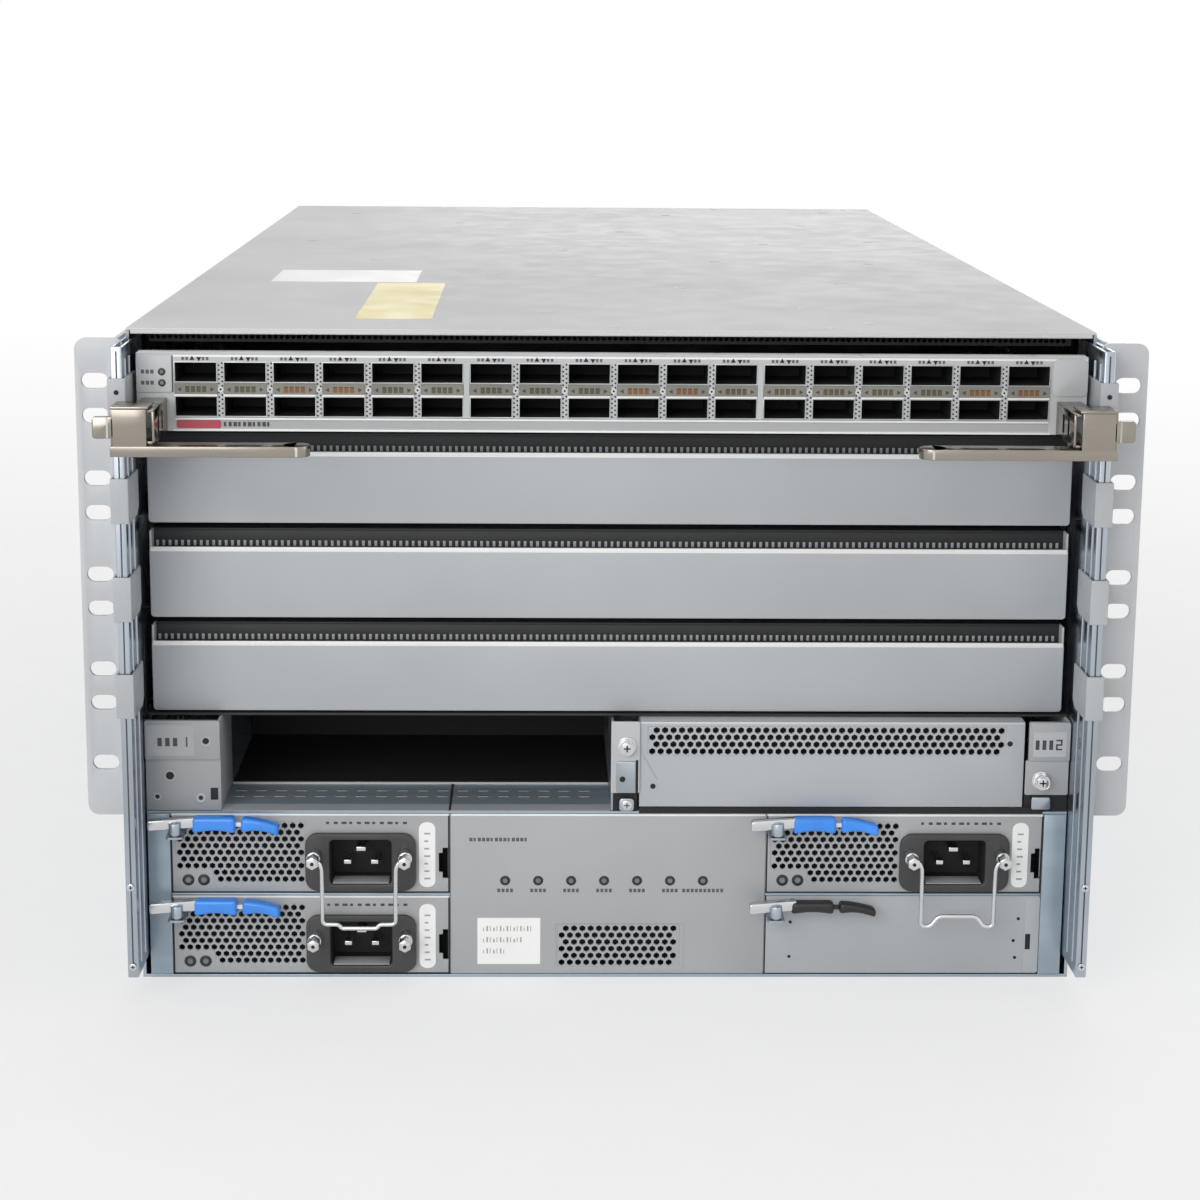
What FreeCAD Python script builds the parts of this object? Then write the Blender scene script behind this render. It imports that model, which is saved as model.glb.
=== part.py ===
"""Seven-unit modular chassis switch: a parametric FreeCAD document, one STEP file for each piece.

X runs to the right seen from the front, Y runs from the front to the rear and Z runs up. Pieces are
drawn from the front edge of the chassis walls (Y = 0), and each gets a Placement that moves them so
that the origin lies under the middle of the whole unit.
"""

import FreeCAD, Part, Sketcher
import math
import os
import re

# ---------------------------------------------------------------- driving dimensions, millimetres

SIZES = {
    # chassis sheet metal
    "overall_width": 444.5, "body_depth": 765.0, "wall_gauge": 1.5, "shelf_gauge": 1.0,
    "fit_gap": 0.3, "head_room": 1.6, "lip_height": 1.5,
    # front side rails, slot catches and rack ears
    "rail_gauge": 2.0, "rail_forward": 30.0, "rail_lap": 22.0, "rail_foot": 12.0, "rail_head": 5.0,
    "catch_gauge": 1.6, "catch_height": 20.6, "catch_rise": 8.5, "catch_outside": 17.0,
    "catch_inside": 24.0, "catch_chamfer": 6.0,
    "rack_width": 482.6, "rack_spacing": 465.1, "rack_unit": 44.45, "rack_pitch": 15.875,
    "rack_edge": 0.5, "ear_gauge": 2.0, "ear_forward": 10.0, "ear_return": 35.0,
    "ear_slot_length": 12.0, "ear_slot_width": 7.0, "ear_corner": 6.0, "ear_top_gap": 3.5,
    # card cage
    "slot_pitch": 44.9, "module_gap": 3.25, "cage_depth": 430.0, "guide_width": 10.5,
    "guide_rise": 1.7, "guide_web": 8.0,
    # slot blanks
    "blank_setback": 8.0, "blank_rise": 1.2, "blank_height": 33.5, "blank_drop": 2.8, "blank_depth": 45.0, "intake_step": 4.5,
    "intake_hole": 2.7, "intake_pitch": 4.1,
    # line card
    "card_forward": 14.0, "card_face_height": 35.5, "card_depth": 430.0, "card_gauge": 1.5,
    "port_pitch": 22.0, "port_width": 18.4, "port_height": 8.6, "port_row_pitch": 15.5,
    "port_wall": 0.4, "port_frame": 0.5, "port_depth": 50.0, "lower_port_rise": 6.9,
    "light_bar_depth": 0.8, "tile_width": 15.9, "tile_height": 18.0, "tile_proud": 0.8,
    "tile_light_x": 11.5, "tile_light_hole": 3.0, "card_brow": 8.0, "card_side": 16.0, "board_gauge": 2.0, "board_inset": 7.0,
    # line card ejectors
    "ejector_reach": 39.0, "ejector_width": 15.0, "ejector_offset": 1.75, "ejector_gauge": 1.5, "ejector_plate": 11.0,
    "arm_width": 12.0, "arm_height": 4.7, "arm_length": 68.5,
    "pivot_inset": 7.5, "pivot_radius": 2.5, "pivot_play": 0.08, "upright_gauge": 4.0,
    "tab_length": 11.5, "tab_height": 8.2,
    # supervisor row
    "supervisor_height": 43.7, "supervisor_depth": 330.0, "left_bracket_width": 35.0,
    "centre_bracket_width": 12.5, "right_bracket_width": 20.4, "bracket_flange": 40.0,
    "bay_offset": 7.15, "bracket_tile": 1.5, "bracket_tile_rise": 25.0,
    "blank_strip_hole": 3.0, "blank_strip_pitch": 5.6, "blank_strip_height": 14.5, "blank_strip_drop": 2.0,
    "blank_strip_left": 4.0, "blank_strip_right": 11.0, "supervisor_blank_depth": 60.0,
    "shelf_slot_length": 8.0, "shelf_slot_width": 2.4, "shelf_slot_pitch": 12.8,
    "shelf_slot_margin": 8.0, "shelf_slot_first": 6.0, "shelf_slot_row": 9.0,
    "screw_radius": 5.0, "small_screw_radius": 4.2, "screw_height": 6.0,
    # power supplies
    "psu_width": 131.0, "psu_height": 38.9, "psu_depth": 330.0, "psu_gauge": 1.2,
    "psu_mesh_left": 2.0, "psu_mesh_right": 62.0, "psu_mesh_low": 2.5, "psu_mesh_high": 29.5,
    "vent_hole": 8.0, "vent_pitch": 10.0, "vent_side": 8.0, "vent_edge": 6.0,
    "panel_width": 148.8, "panel_light": 5.6, "panel_light_pitch": 15.6, "panel_light_z": 48.2,
    "panel_light_shift": 1.8, "light_play": 0.05, "light_setback": 0.2, "light_depth": 4.0,
    "grille_hole": 3.2, "grille_pitch": 4.4, "grille_left": 23.5, "grille_right": 37.5,
    "grille_low": 3.5, "grille_high": 27.0,
    "inlet_x": 89.1, "inlet_z": 15.5, "bezel_width": 52.0, "bezel_height": 28.4,
    "bezel_proud": 2.5, "socket_width": 30.0, "socket_height": 21.5, "socket_depth": 22.0,
    "bezel_corner": 5.0, "socket_clear": 1.4, "socket_wall": 1.2, "socket_base": 1.5,
    "pin_length": 16.0, "pin_width": 6.4, "pin_gauge": 2.0, "standoff_spread": 42.8,
    "standoff_rise": 4.5, "standoff_radius": 3.2, "standoff_length": 14.5, "bail_inset": 3.2,
    "bail_wire": 1.0, "bail_drop": 29.0, "bail_play": 0.08, "bail_step": 7.0, "bail_slope": 3.0,
    "lever_pivot": 4.0, "lever_forward": 12.0, "lever_tail": 13.0, "lever_z": 35.0,
    "lever_height": 5.0, "lever_gauge": 4.4, "lever_ear": 1.0, "lever_ear_half": 4.0,
    "lever_ear_nose": 3.0, "grip_start": 7.5, "grip_length": 39.5, "grip_rise": 0.6,
    "grip_joint": 1.2, "grip_height": 9.2, "grip_gauge": 6.5, "hinge_radius": 1.6,
    "psu_fan_x": 32.0, "psu_fan_radius": 16.0, "psu_fan_depth": 20.0, "psu_fan_y": 14.0,
    "psu_fan_hub": 7.2, "psu_fan_plate": 2.0, "psu_fan_spoke": 2.0, "psu_blade_root": 6.4,
    "psu_blade_tip": 14.72, "psu_blade_gauge": 1.2, "psu_blade_end": 3.0,
    "filler_depth": 40.0,
    # fan trays
    "tray_pitch": 127.0, "tray_proud": 41.7, "tray_inside": 150.0, "tray_gauge": 1.2,
    "tray_flange": 12.7, "tray_drop": 13.0, "tray_hole": 12.4, "tray_hole_pitch": 15.6,
    "handle_width": 114.0, "handle_reach": 36.0, "handle_radius": 4.75, "handle_bend": 13.0,
    "handle_inset": 11.0, "fan_size": 120.0, "fan_depth": 38.0, "fan_bore": 57.5,
    "fan_tip": 55.0, "fan_hub": 26.0, "fan_stub": 5.0, "fan_setback": 70.0,
    "rotor_depth": 26.0, "blade_gauge": 2.0, "blade_seat": 2.0, "tray_screw_offset": 11.0,
    "tray_screw_rise": 8.0, "motor_seat": 5.0, "strut_width": 4.0, "tray_mesh_side": 3.0,
    "tray_mesh_low": 8.5, "tray_mesh_high": 18.0,
    # system controllers and rear panels
    "controller_width": 183.0, "controller_height": 46.5, "controller_depth": 300.0,
    "controller_offset": 9.3, "controller_gauge": 1.2, "controller_lever_z": 6.8,
    "controller_lever_x": 21.0, "controller_screw_x": 13.5, "controller_screw_z": 21.0,
    "board_margin": 4.0, "ground_x": 205.0, "ground_z": 74.3, "ground_pitch": 12.1,
    "ground_radius": 3.2, "panel_return": 60.0, "fabric_depth": 145.0, "fabric_gauge": 3.0,
    "fabric_gap": 2.0,
}

SLOT_COUNT = 4
EAR_SLOT_UNITS = (1.0, 1.0, 2.0, 2.0, 3.0, 3.0, 4.0, 4.0, 5.0)
PORT_COLUMNS = 18
PORT_GROUP = 6
TRAY_BLADES = 7
PSU_BLADES = 5
PANEL_LIGHTS = 7
BLADE_PITCH = 52
# shares of a captive screw's height and radius: washer, drum and driving head
WASHER_SHARE, DRUM_SHARE, HEAD_SHARE = 0.2, 0.8, 0.62
# where a grip's two halves meet, as a share of its length
GRIP_SHARE = 0.56
# each inlet blade's middle, from the middle of the inlet
INLET_PINS = ((0.0, 6.6), (-6.4, 0.6), (6.4, 0.6))
# how far the two lights of the card's left tile lie below its top
TILE_LIGHT_DROPS = (8.6, 13.6)

# names worked out once from the driving dimensions
DERIVED = {
    "half_body": "overall_width / 2 - rail_gauge",
    "half_inside": "half_body - wall_gauge",
    "rail_inside": "half_inside - rail_gauge",
    "module_half": "rail_inside - module_gap",
    "lower_psu_z": "wall_gauge + fit_gap",
    "ledge_z": "lower_psu_z + psu_height + fit_gap",
    "upper_psu_z": "ledge_z + shelf_gauge + fit_gap",
    "supervisor_shelf_z": "upper_psu_z + psu_height + fit_gap",
    "supervisor_z": "supervisor_shelf_z + shelf_gauge + fit_gap",
    "cage_floor_z": "supervisor_z + supervisor_height + fit_gap",
    "slot_base": "cage_floor_z + shelf_gauge",
    "cover_z": "slot_base + SLOTS * slot_pitch + head_room",
    "body_height": "cover_z + wall_gauge",
    "top_slot": "slot_base + (SLOTS - 1) * slot_pitch",
    "card_z": "top_slot + guide_rise + shelf_gauge + fit_gap",
    "lower_port_z": "card_z + lower_port_rise",
    "upper_port_z": "lower_port_z + port_row_pitch",
    "card_top": "card_z + card_face_height",
    "card_front": "-card_forward",
    "card_back": "card_gauge - card_forward",
    "arm_y": "-(card_forward + ejector_reach - arm_width / 2 + 0.5)",
    "ejector_in": "rail_inside - ejector_offset - ejector_width",
    "ejector_out": "rail_inside - ejector_offset",
    "pivot_x": "ejector_in + pivot_inset",
    "ejector_top": "card_z + card_face_height - tile_height - 0.5",
    "arm_top": "card_z - fit_gap",
    "arm_bottom": "arm_top - arm_height",
    "bay_split": "bay_offset",
    "psu_inner": "panel_width / 2 + fit_gap",
    "psu_outer": "psu_inner + psu_width",
    "fan_shelf_z": "wall_gauge + 2 * fit_gap + controller_height",
    "tray_z": "fan_shelf_z + shelf_gauge + fit_gap",
    "tray_top": "body_height - wall_gauge - tray_drop",
    "tray_half": "tray_pitch / 2 - fit_gap",
    "tray_face": "body_depth + tray_proud",
    "tray_front": "body_depth - tray_inside",
    "fan_y": "tray_face - fan_setback",
    "lower_fan_z": "tray_z + tray_gauge + fit_gap + fan_size / 2",
    "upper_fan_z": "lower_fan_z + fan_size + fit_gap",
    "psu_fan_z": "psu_height / 2",
    "front_reach": "arm_width / 2 - arm_y",
    "rear_reach": "tray_face + handle_reach + handle_radius",
    "origin_shift": "(front_reach - rear_reach) / 2",
    "rack_top": "body_height - rack_edge",
    "ear_top": "body_height - ear_top_gap",
    "ear_bottom": "ear_top - 5 * rack_unit",
}

doc = FreeCAD.newDocument("chassis_switch")
sheet = doc.addObject("Spreadsheet::Sheet", "Sizes")
for row, (alias, value) in enumerate(SIZES.items(), start=1):
    sheet.set(f"A{row}", str(value))
    sheet.setAlias(f"A{row}", alias)
doc.recompute()
derived = doc.addObject("App::FeaturePython", "Derived")


def formula(text):
    """Turn plain names in a formula into references to the sheet and to the derived values."""
    def reference(match):
        name = match.group(0)
        if name in SIZES:
            return f"Sizes.{name}"
        return f"Derived.{name}" if name in DERIVED else name
    return re.sub(r"[A-Za-z_][A-Za-z_0-9]*", reference, str(text))


for name, text in DERIVED.items():
    derived.addProperty("App::PropertyFloat", name, "Derived")
    derived.setExpression(name, formula(text.replace("SLOTS", str(SLOT_COUNT))).replace("Derived.", ""))
doc.recompute()


def size(name):
    """Read one driving or derived value as a number."""
    if name in SIZES:
        return float(sheet.get(name))
    return float(getattr(derived, name))


NODES = []

# ---------------------------------------------------------------- building blocks


def bind(item, **formulas):
    for prop, text in formulas.items():
        item.setExpression(prop, formula(text))


def move(item, x, y, z):
    for axis, text in zip("xyz", (x, y, z)):
        item.setExpression(f".Placement.Base.{axis}", formula(text))


def block(name, xs, ys, zs):
    """A box between two planes on each axis."""
    item = doc.addObject("Part::Box", name)
    bind(item, Length=f"({xs[1]}) - ({xs[0]})", Width=f"({ys[1]}) - ({ys[0]})",
         Height=f"({zs[1]}) - ({zs[0]})")
    move(item, xs[0], ys[0], zs[0])
    return item


TURNS = {
    "x": FreeCAD.Rotation(FreeCAD.Vector(0, 1, 0), 90),
    "y": FreeCAD.Rotation(FreeCAD.Vector(1, 0, 0), -90),
    "z": FreeCAD.Rotation(),
}


def rod(name, axis, start, radius, length):
    """A cylinder from its start point along +X, +Y or +Z."""
    item = doc.addObject("Part::Cylinder", name)
    item.Placement = FreeCAD.Placement(FreeCAD.Vector(), TURNS[axis])
    bind(item, Radius=radius, Height=length)
    move(item, *start)
    return item


def fuse(name, pieces):
    if len(pieces) == 1:
        return pieces[0]
    item = doc.addObject("Part::MultiFuse", name)
    item.Shapes = pieces
    item.Refine = True
    return item


def group(name, pieces):
    """Separate solids kept in one node."""
    item = doc.addObject("Part::Compound", name)
    item.Links = pieces
    return item


def cut(name, base, tools):
    item = doc.addObject("Part::Cut", name)
    item.Base = base
    item.Tool = tools[0] if len(tools) == 1 else group(f"{name}_tools", tools)
    item.Refine = True
    return item


def chamfer(name, base, distance, picks):
    """Chamfer the edges whose middle lies at one of the picked points."""
    doc.recompute()
    item = doc.addObject("Part::Chamfer", name)
    item.Base = base
    wanted = []
    for index, edge in enumerate(base.Shape.Edges, start=1):
        middle = edge.BoundBox.Center
        if any(middle.distanceToPoint(FreeCAD.Vector(*pick)) < 0.05 for pick in picks):
            wanted.append((index, size(distance), size(distance)))
    item.Edges = wanted
    return item


def node(label, item):
    """Register a finished piece: its Label is its file name, and its Placement sets the origin."""
    if item.TypeId == "Part::Box":
        item = group(f"{label}_plate", [item])
    item.Label = label
    bind(item, **{".Placement.Base.y": "origin_shift"})
    NODES.append(item)
    return item


def shape_node(label, shape):
    """A piece whose shape is set directly; it gets its Placement after its Shape."""
    item = doc.addObject("Part::Feature", f"{label}_shape")
    item.Shape = shape
    item.Label = label
    item.Placement = FreeCAD.Placement(FreeCAD.Vector(0, size("origin_shift"), 0), FreeCAD.Rotation())
    NODES.append(item)
    return item


def raw(name, shape):
    item = doc.addObject("Part::Feature", name)
    item.Shape = shape
    return item


def mirror_x(side, near, far):
    """The X range of something between two distances from the middle, on one side."""
    return (near, far) if side > 0 else (f"-({far})", f"-({near})")


def hexagon(x, z, width):
    """A closed six-sided wire in the XZ plane, two corners up and down."""
    radius = width / math.sqrt(3)
    corners = [FreeCAD.Vector(x + radius * math.sin(math.radians(60 * k)), 0,
                              z + radius * math.cos(math.radians(60 * k))) for k in range(6)]
    return Part.makePolygon(corners + corners[:1])


def hex_field(x0, x1, z0, z1, hole, pitch, blocked=()):
    """Hexagonal holes in staggered rows inside a rectangle, leaving out blocked rectangles."""
    row_pitch = pitch * math.sqrt(3) / 2
    rows = int((z1 - z0 - hole) / row_pitch) + 1
    columns = int((x1 - x0 - hole) / pitch) + 1
    z_first = (z0 + z1 - (rows - 1) * row_pitch) / 2
    x_first = (x0 + x1 - (columns - 1) * pitch) / 2
    wires = []
    for r in range(rows):
        stagger = pitch / 4 if r % 2 else -pitch / 4
        for c in range(columns):
            x, z = x_first + c * pitch + stagger, z_first + r * row_pitch
            margin = hole / 2 + 0.4
            if x - margin < x0 or x + margin > x1:
                continue
            if any(a - margin < x < b + margin and low - margin < z < high + margin
                   for a, b, low, high in blocked):
                continue
            wires.append(hexagon(x, z, hole))
    return wires


def rectangle(x0, x1, z0, z1):
    corners = [FreeCAD.Vector(x, 0, z) for x, z in ((x0, z0), (x1, z0), (x1, z1), (x0, z1), (x0, z0))]
    return Part.makePolygon(corners)


def circle(x, z, radius):
    return Part.Wire(Part.makeCircle(radius, FreeCAD.Vector(x, 0, z), FreeCAD.Vector(0, 1, 0)))


def pierced(x0, x1, z0, z1, y, gauge, holes):
    """An upright sheet facing the front, with its holes."""
    face = Part.makeFace([rectangle(x0, x1, z0, z1)] + holes, "Part::FaceMakerBullseye")
    sheet_metal = face.extrude(FreeCAD.Vector(0, gauge, 0))
    sheet_metal.translate(FreeCAD.Vector(0, y, 0))
    return sheet_metal


def solid_box(x0, x1, y0, y1, z0, z1):
    return Part.makeBox(x1 - x0, y1 - y0, z1 - z0, FreeCAD.Vector(x0, y0, z0))


def lathe(x, y, z, steps, forward):
    """A round fastener made of stacked lengths and radii, standing out along Y."""
    pieces = []
    for start, length, radius in steps:
        direction = FreeCAD.Vector(0, -1 if forward else 1, 0)
        foot = FreeCAD.Vector(x, y + direction.y * start, z)
        pieces.append(Part.makeCylinder(radius, length, foot, direction))
    return pieces[0].fuse(pieces[1:]).removeSplitter() if len(pieces) > 1 else pieces[0]


def captive_screw(x, y, z, radius, height, forward):
    """A captive screw: a washer, a drum and a narrower driving head."""
    washer = height * WASHER_SHARE
    steps = ((0, washer, radius), (washer, height - 2 * washer, radius * DRUM_SHARE),
             (height - washer, washer, radius * HEAD_SHARE))
    return lathe(x, y, z, steps, forward)


# ---------------------------------------------------------------- chassis shell and cover

HALF = "half_body"
SHELL_WALLS = [block("shell_floor", ("-half_body", HALF), ("0", "body_depth"), ("0", "wall_gauge"))]
for side, word in ((-1, "left"), (1, "right")):
    SHELL_WALLS.append(block(f"shell_wall_{word}", mirror_x(side, "half_inside", HALF),
                             ("0", "body_depth"), ("wall_gauge", "cover_z")))
node("chassis_shell", fuse("shell", SHELL_WALLS))

COVER_HALF = "half_inside - fit_gap"
HEADER_HALF = "1.5 * tray_pitch + fit_gap"
node("top_cover", fuse("cover", [
    block("cover_plate", ("-half_body", HALF), ("0", "body_depth"), ("cover_z", "body_height")),
    block("cover_lip", (f"-({COVER_HALF})", COVER_HALF), ("0", "wall_gauge"),
          ("cover_z - lip_height", "cover_z")),
    block("cover_header", (f"-({HEADER_HALF})", HEADER_HALF), ("body_depth - wall_gauge", "body_depth"),
          ("tray_top + 6 * fit_gap", "cover_z")),
]))

# ---------------------------------------------------------------- front side rails and slot catches

RAIL_Z = ("rail_foot", "body_height - rail_head")
CATCHES = []
for side, word in ((-1, "left"), (1, "right")):
    folds = [
        block(f"rail_front_{word}", mirror_x(side, "rail_inside", "overall_width / 2"),
              ("-rail_forward", "rail_gauge - rail_forward"), RAIL_Z),
        block(f"rail_outer_{word}", mirror_x(side, HALF, "overall_width / 2"),
              ("-rail_forward", "rail_lap"), RAIL_Z),
        block(f"rail_inner_{word}", mirror_x(side, "rail_inside", "half_inside"),
              ("-rail_forward", "rail_lap"), RAIL_Z),
    ]
    node(f"side_rail_{word}", fuse(f"rail_{word}", folds))
    for slot in range(SLOT_COUNT):
        low = f"slot_base + {slot} * slot_pitch + catch_rise"
        high = f"{low} + catch_height"
        front = "-rail_forward - catch_gauge"
        tag = f"{word}_{SLOT_COUNT - slot}"
        wrap = fuse(f"catch_{tag}", [
            block(f"catch_front_{tag}", mirror_x(side, "rail_inside - catch_gauge",
                                                 "overall_width / 2 + catch_gauge"),
                  (front, "-rail_forward"), (low, high)),
            block(f"catch_outer_{tag}", mirror_x(side, "overall_width / 2",
                                                 "overall_width / 2 + catch_gauge"),
                  (front, "catch_outside - rail_forward"), (low, high)),
            block(f"catch_inner_{tag}", mirror_x(side, "rail_inside - catch_gauge", "rail_inside"),
                  (front, "catch_inside - rail_forward"), (low, high)),
        ])
        x_mid = side * (size("rail_inside") - size("catch_gauge") / 2)
        z_low = size("slot_base") + slot * size("slot_pitch") + size("catch_rise")
        y_back = size("catch_inside") - size("rail_forward")
        CATCHES.append(chamfer(f"catch_cut_{tag}", wrap, "catch_chamfer", [(x_mid, y_back, z_low)]))
node("slot_catches", group("catches", CATCHES))

# ---------------------------------------------------------------- rack ears


def ear(side, word):
    """A flat ear with obround slots at the rack's hole heights and a return flange on the rail."""
    body = doc.addObject("PartDesign::Body", f"ear_{word}")
    planes = {feature.Role: feature for feature in body.Origin.OriginFeatures}
    outline = body.newObject("Sketcher::SketchObject", f"ear_outline_{word}")
    outline.AttachmentSupport = (planes["XZ_Plane"], [""])
    outline.MapMode = "FlatFace"
    outline.setExpression(".AttachmentOffset.Base.z", formula("ear_forward"))
    near, far = size("overall_width") / 2, size("rack_width") / 2
    xs = (side * near, side * far)
    zs = (size("ear_bottom"), size("ear_top"))
    corners = [FreeCAD.Vector(min(xs), zs[0], 0), FreeCAD.Vector(max(xs), zs[0], 0),
               FreeCAD.Vector(max(xs), zs[1], 0), FreeCAD.Vector(min(xs), zs[1], 0)]
    for start in range(4):
        outline.addGeometry(Part.LineSegment(corners[start], corners[(start + 1) % 4]))
        outline.addConstraint(Sketcher.Constraint("Horizontal" if start % 2 == 0 else "Vertical", start))
    for start in range(4):
        outline.addConstraint(Sketcher.Constraint("Coincident", start, 2, (start + 1) % 4, 1))
    limits = (("DistanceX", 3, f"{'-rack_width' if side < 0 else 'overall_width'} / 2"),
              ("DistanceX", 1, f"{'-overall_width' if side < 0 else 'rack_width'} / 2"),
              ("DistanceY", 0, "ear_bottom"), ("DistanceY", 2, "ear_top"))
    for kind, line, text in limits:
        index = outline.addConstraint(Sketcher.Constraint(kind, -1, 1, line, 1, 1.0))
        outline.setExpression(f"Constraints[{index}]", formula(text))
    plate = body.newObject("PartDesign::Pad", f"ear_plate_{word}")
    plate.Profile = outline
    bind(plate, Length="ear_gauge")
    doc.recompute()
    fillet_edges = [f"Edge{i}" for i, edge in enumerate(plate.Shape.Edges, start=1)
                    if abs(edge.BoundBox.Center.x - side * far) < 0.01 and edge.BoundBox.YLength > 1.0
                    and edge.BoundBox.ZLength < 0.01]
    rounded = body.newObject("PartDesign::Fillet", f"ear_round_{word}")
    rounded.Base = (plate, fillet_edges)
    bind(rounded, Radius="ear_corner")
    body.Tip = rounded
    return body


for side, word in ((-1, "left"), (1, "right")):
    plate = ear(side, word)
    flange = block(f"ear_flange_{word}", mirror_x(side, "overall_width / 2",
                                                  "overall_width / 2 + ear_gauge"),
                   ("-ear_forward", "ear_return - ear_forward"), ("ear_bottom", "ear_top"))
    slots = []
    for index, unit in enumerate(EAR_SLOT_UNITS):
        lower = "rack_pitch" if index % 2 else "0"
        level = f"rack_top - ({unit} - 0.5) * rack_unit - {lower}"
        straight = "(ear_slot_length - ear_slot_width) / 2"
        centre = f"{side} * rack_spacing / 2"
        depth = ("-ear_forward - 2 * ear_gauge", "ear_gauge - ear_forward")
        slots.append(block(f"ear_slot_{word}_{index}", (f"{centre} - {straight}", f"{centre} + {straight}"),
                           depth, (f"{level} - ear_slot_width / 2", f"{level} + ear_slot_width / 2")))
        for end in (-1, 1):
            slots.append(rod(f"ear_slot_{word}_{index}_{'a' if end < 0 else 'b'}", "y",
                             (f"{centre} + {end} * {straight}", depth[0], level),
                             "ear_slot_width / 2", "3 * ear_gauge"))
    node(f"rack_ear_{word}", cut(f"ear_cut_{word}", fuse(f"ear_fold_{word}", [plate, flange]),
                                 [fuse(f"ear_slots_{word}", slots)]))

# ---------------------------------------------------------------- card cage: floor and guides

INNER_HALF = "rail_inside - fit_gap"
LAP = "rail_lap + 2"


def shelf(name, level, front, back):
    """A shelf that clears the rails at the front and reaches the walls behind them."""
    zs = (level, f"{level} + shelf_gauge")
    return [block(f"{name}_front", (f"-({INNER_HALF})", INNER_HALF), (front, LAP), zs),
            block(f"{name}_rear", ("-half_inside", "half_inside"), (LAP, back), zs)]


CAGE = [fuse("cage_floor", shelf("cage_floor", "cage_floor_z", "blank_setback", "cage_depth"))]
for slot in range(SLOT_COUNT):
    for side, word in ((-1, "left"), (1, "right")):
        low = f"slot_base + {slot} * slot_pitch + guide_rise"
        tag = f"{word}_{slot}"
        CAGE.append(fuse(f"guide_{tag}", [
            block(f"guide_ledge_{tag}", mirror_x(side, "half_inside - guide_width", "half_inside"),
                  (LAP, "cage_depth"), (low, f"{low} + shelf_gauge")),
            block(f"guide_web_{tag}", mirror_x(side, "half_inside - shelf_gauge", "half_inside"),
                  (LAP, "cage_depth"), (low, f"{low} + guide_web")),
        ]))
node("card_cage", group("card_cage_parts", CAGE))

# ---------------------------------------------------------------- slot blanks


def intake_holes(x0, x1, z_mid, hole, pitch):
    count = int((x1 - x0) / pitch)
    first = (x0 + x1 - (count - 1) * pitch) / 2
    return [hexagon(first + k * pitch, z_mid, hole) for k in range(count)]


for number in range(2, SLOT_COUNT + 1):
    slot = SLOT_COUNT - number
    base = f"slot_base + {slot} * slot_pitch"
    seat = f"{base} + guide_rise + shelf_gauge + fit_gap"
    face_top = f"{base} + blank_height + blank_rise"
    strip_y = "blank_setback + intake_step"
    roof = f"{base} + slot_pitch - blank_drop"
    half = ("-module_half", "module_half")
    z_base = size("slot_base") + slot * size("slot_pitch")
    z_face_top = z_base + size("blank_height") + size("blank_rise")
    z_roof = z_base + size("slot_pitch") - size("blank_drop")
    y_strip = size("blank_setback") + size("intake_step")
    x_half = size("module_half")
    strip = raw(f"blank_{number}_intake", pierced(
        -x_half, x_half, z_face_top - size("wall_gauge"), z_roof, y_strip, size("shelf_gauge"),
        intake_holes(-x_half + 6, x_half - 6, (z_face_top + z_roof) / 2, size("intake_hole"),
                     size("intake_pitch"))))
    walls = [
        block(f"blank_{number}_face", half, ("blank_setback", "blank_setback + wall_gauge"),
              (f"{base} + blank_rise", face_top)),
        block(f"blank_{number}_brow", half, ("blank_setback", strip_y),
              (f"{face_top} - wall_gauge", face_top)),
        strip,
        block(f"blank_{number}_roof", half, (strip_y, "blank_depth"),
              (f"{roof} - shelf_gauge", roof)),
        block(f"blank_{number}_foot", half, ("blank_setback", "blank_depth"),
              (seat, f"{seat} + shelf_gauge")),
    ]
    for side, word in ((-1, "left"), (1, "right")):
        walls.append(block(f"blank_{number}_side_{word}",
                           mirror_x(side, "module_half - shelf_gauge", "module_half"),
                           ("blank_setback", "blank_depth"), (seat, roof)))
    node(f"slot_blank_{number}", fuse(f"blank_{number}", walls))

# ---------------------------------------------------------------- line card

CARD_HALF = ("-module_half", "module_half")
FIRST_PORT = f"-({PORT_COLUMNS} - 1) / 2 * port_pitch"


def port_columns():
    """The middle of each column of two ports."""
    first = -(PORT_COLUMNS - 1) / 2 * size("port_pitch")
    return [first + k * size("port_pitch") for k in range(PORT_COLUMNS)]


def card_face():
    """The faceplate with a window for each port and two light holes at the left end."""
    slack = size("port_wall") + 0.1
    holes = []
    for x in port_columns():
        for z in (size("lower_port_z"), size("upper_port_z")):
            holes.append(rectangle(x - size("port_width") / 2 - slack, x + size("port_width") / 2 + slack,
                                   z - slack, z + size("port_height") + slack))
    return pierced(-size("module_half"), size("module_half"), size("card_z"), size("card_top"),
                   size("card_front"), size("card_gauge"), holes)


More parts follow.
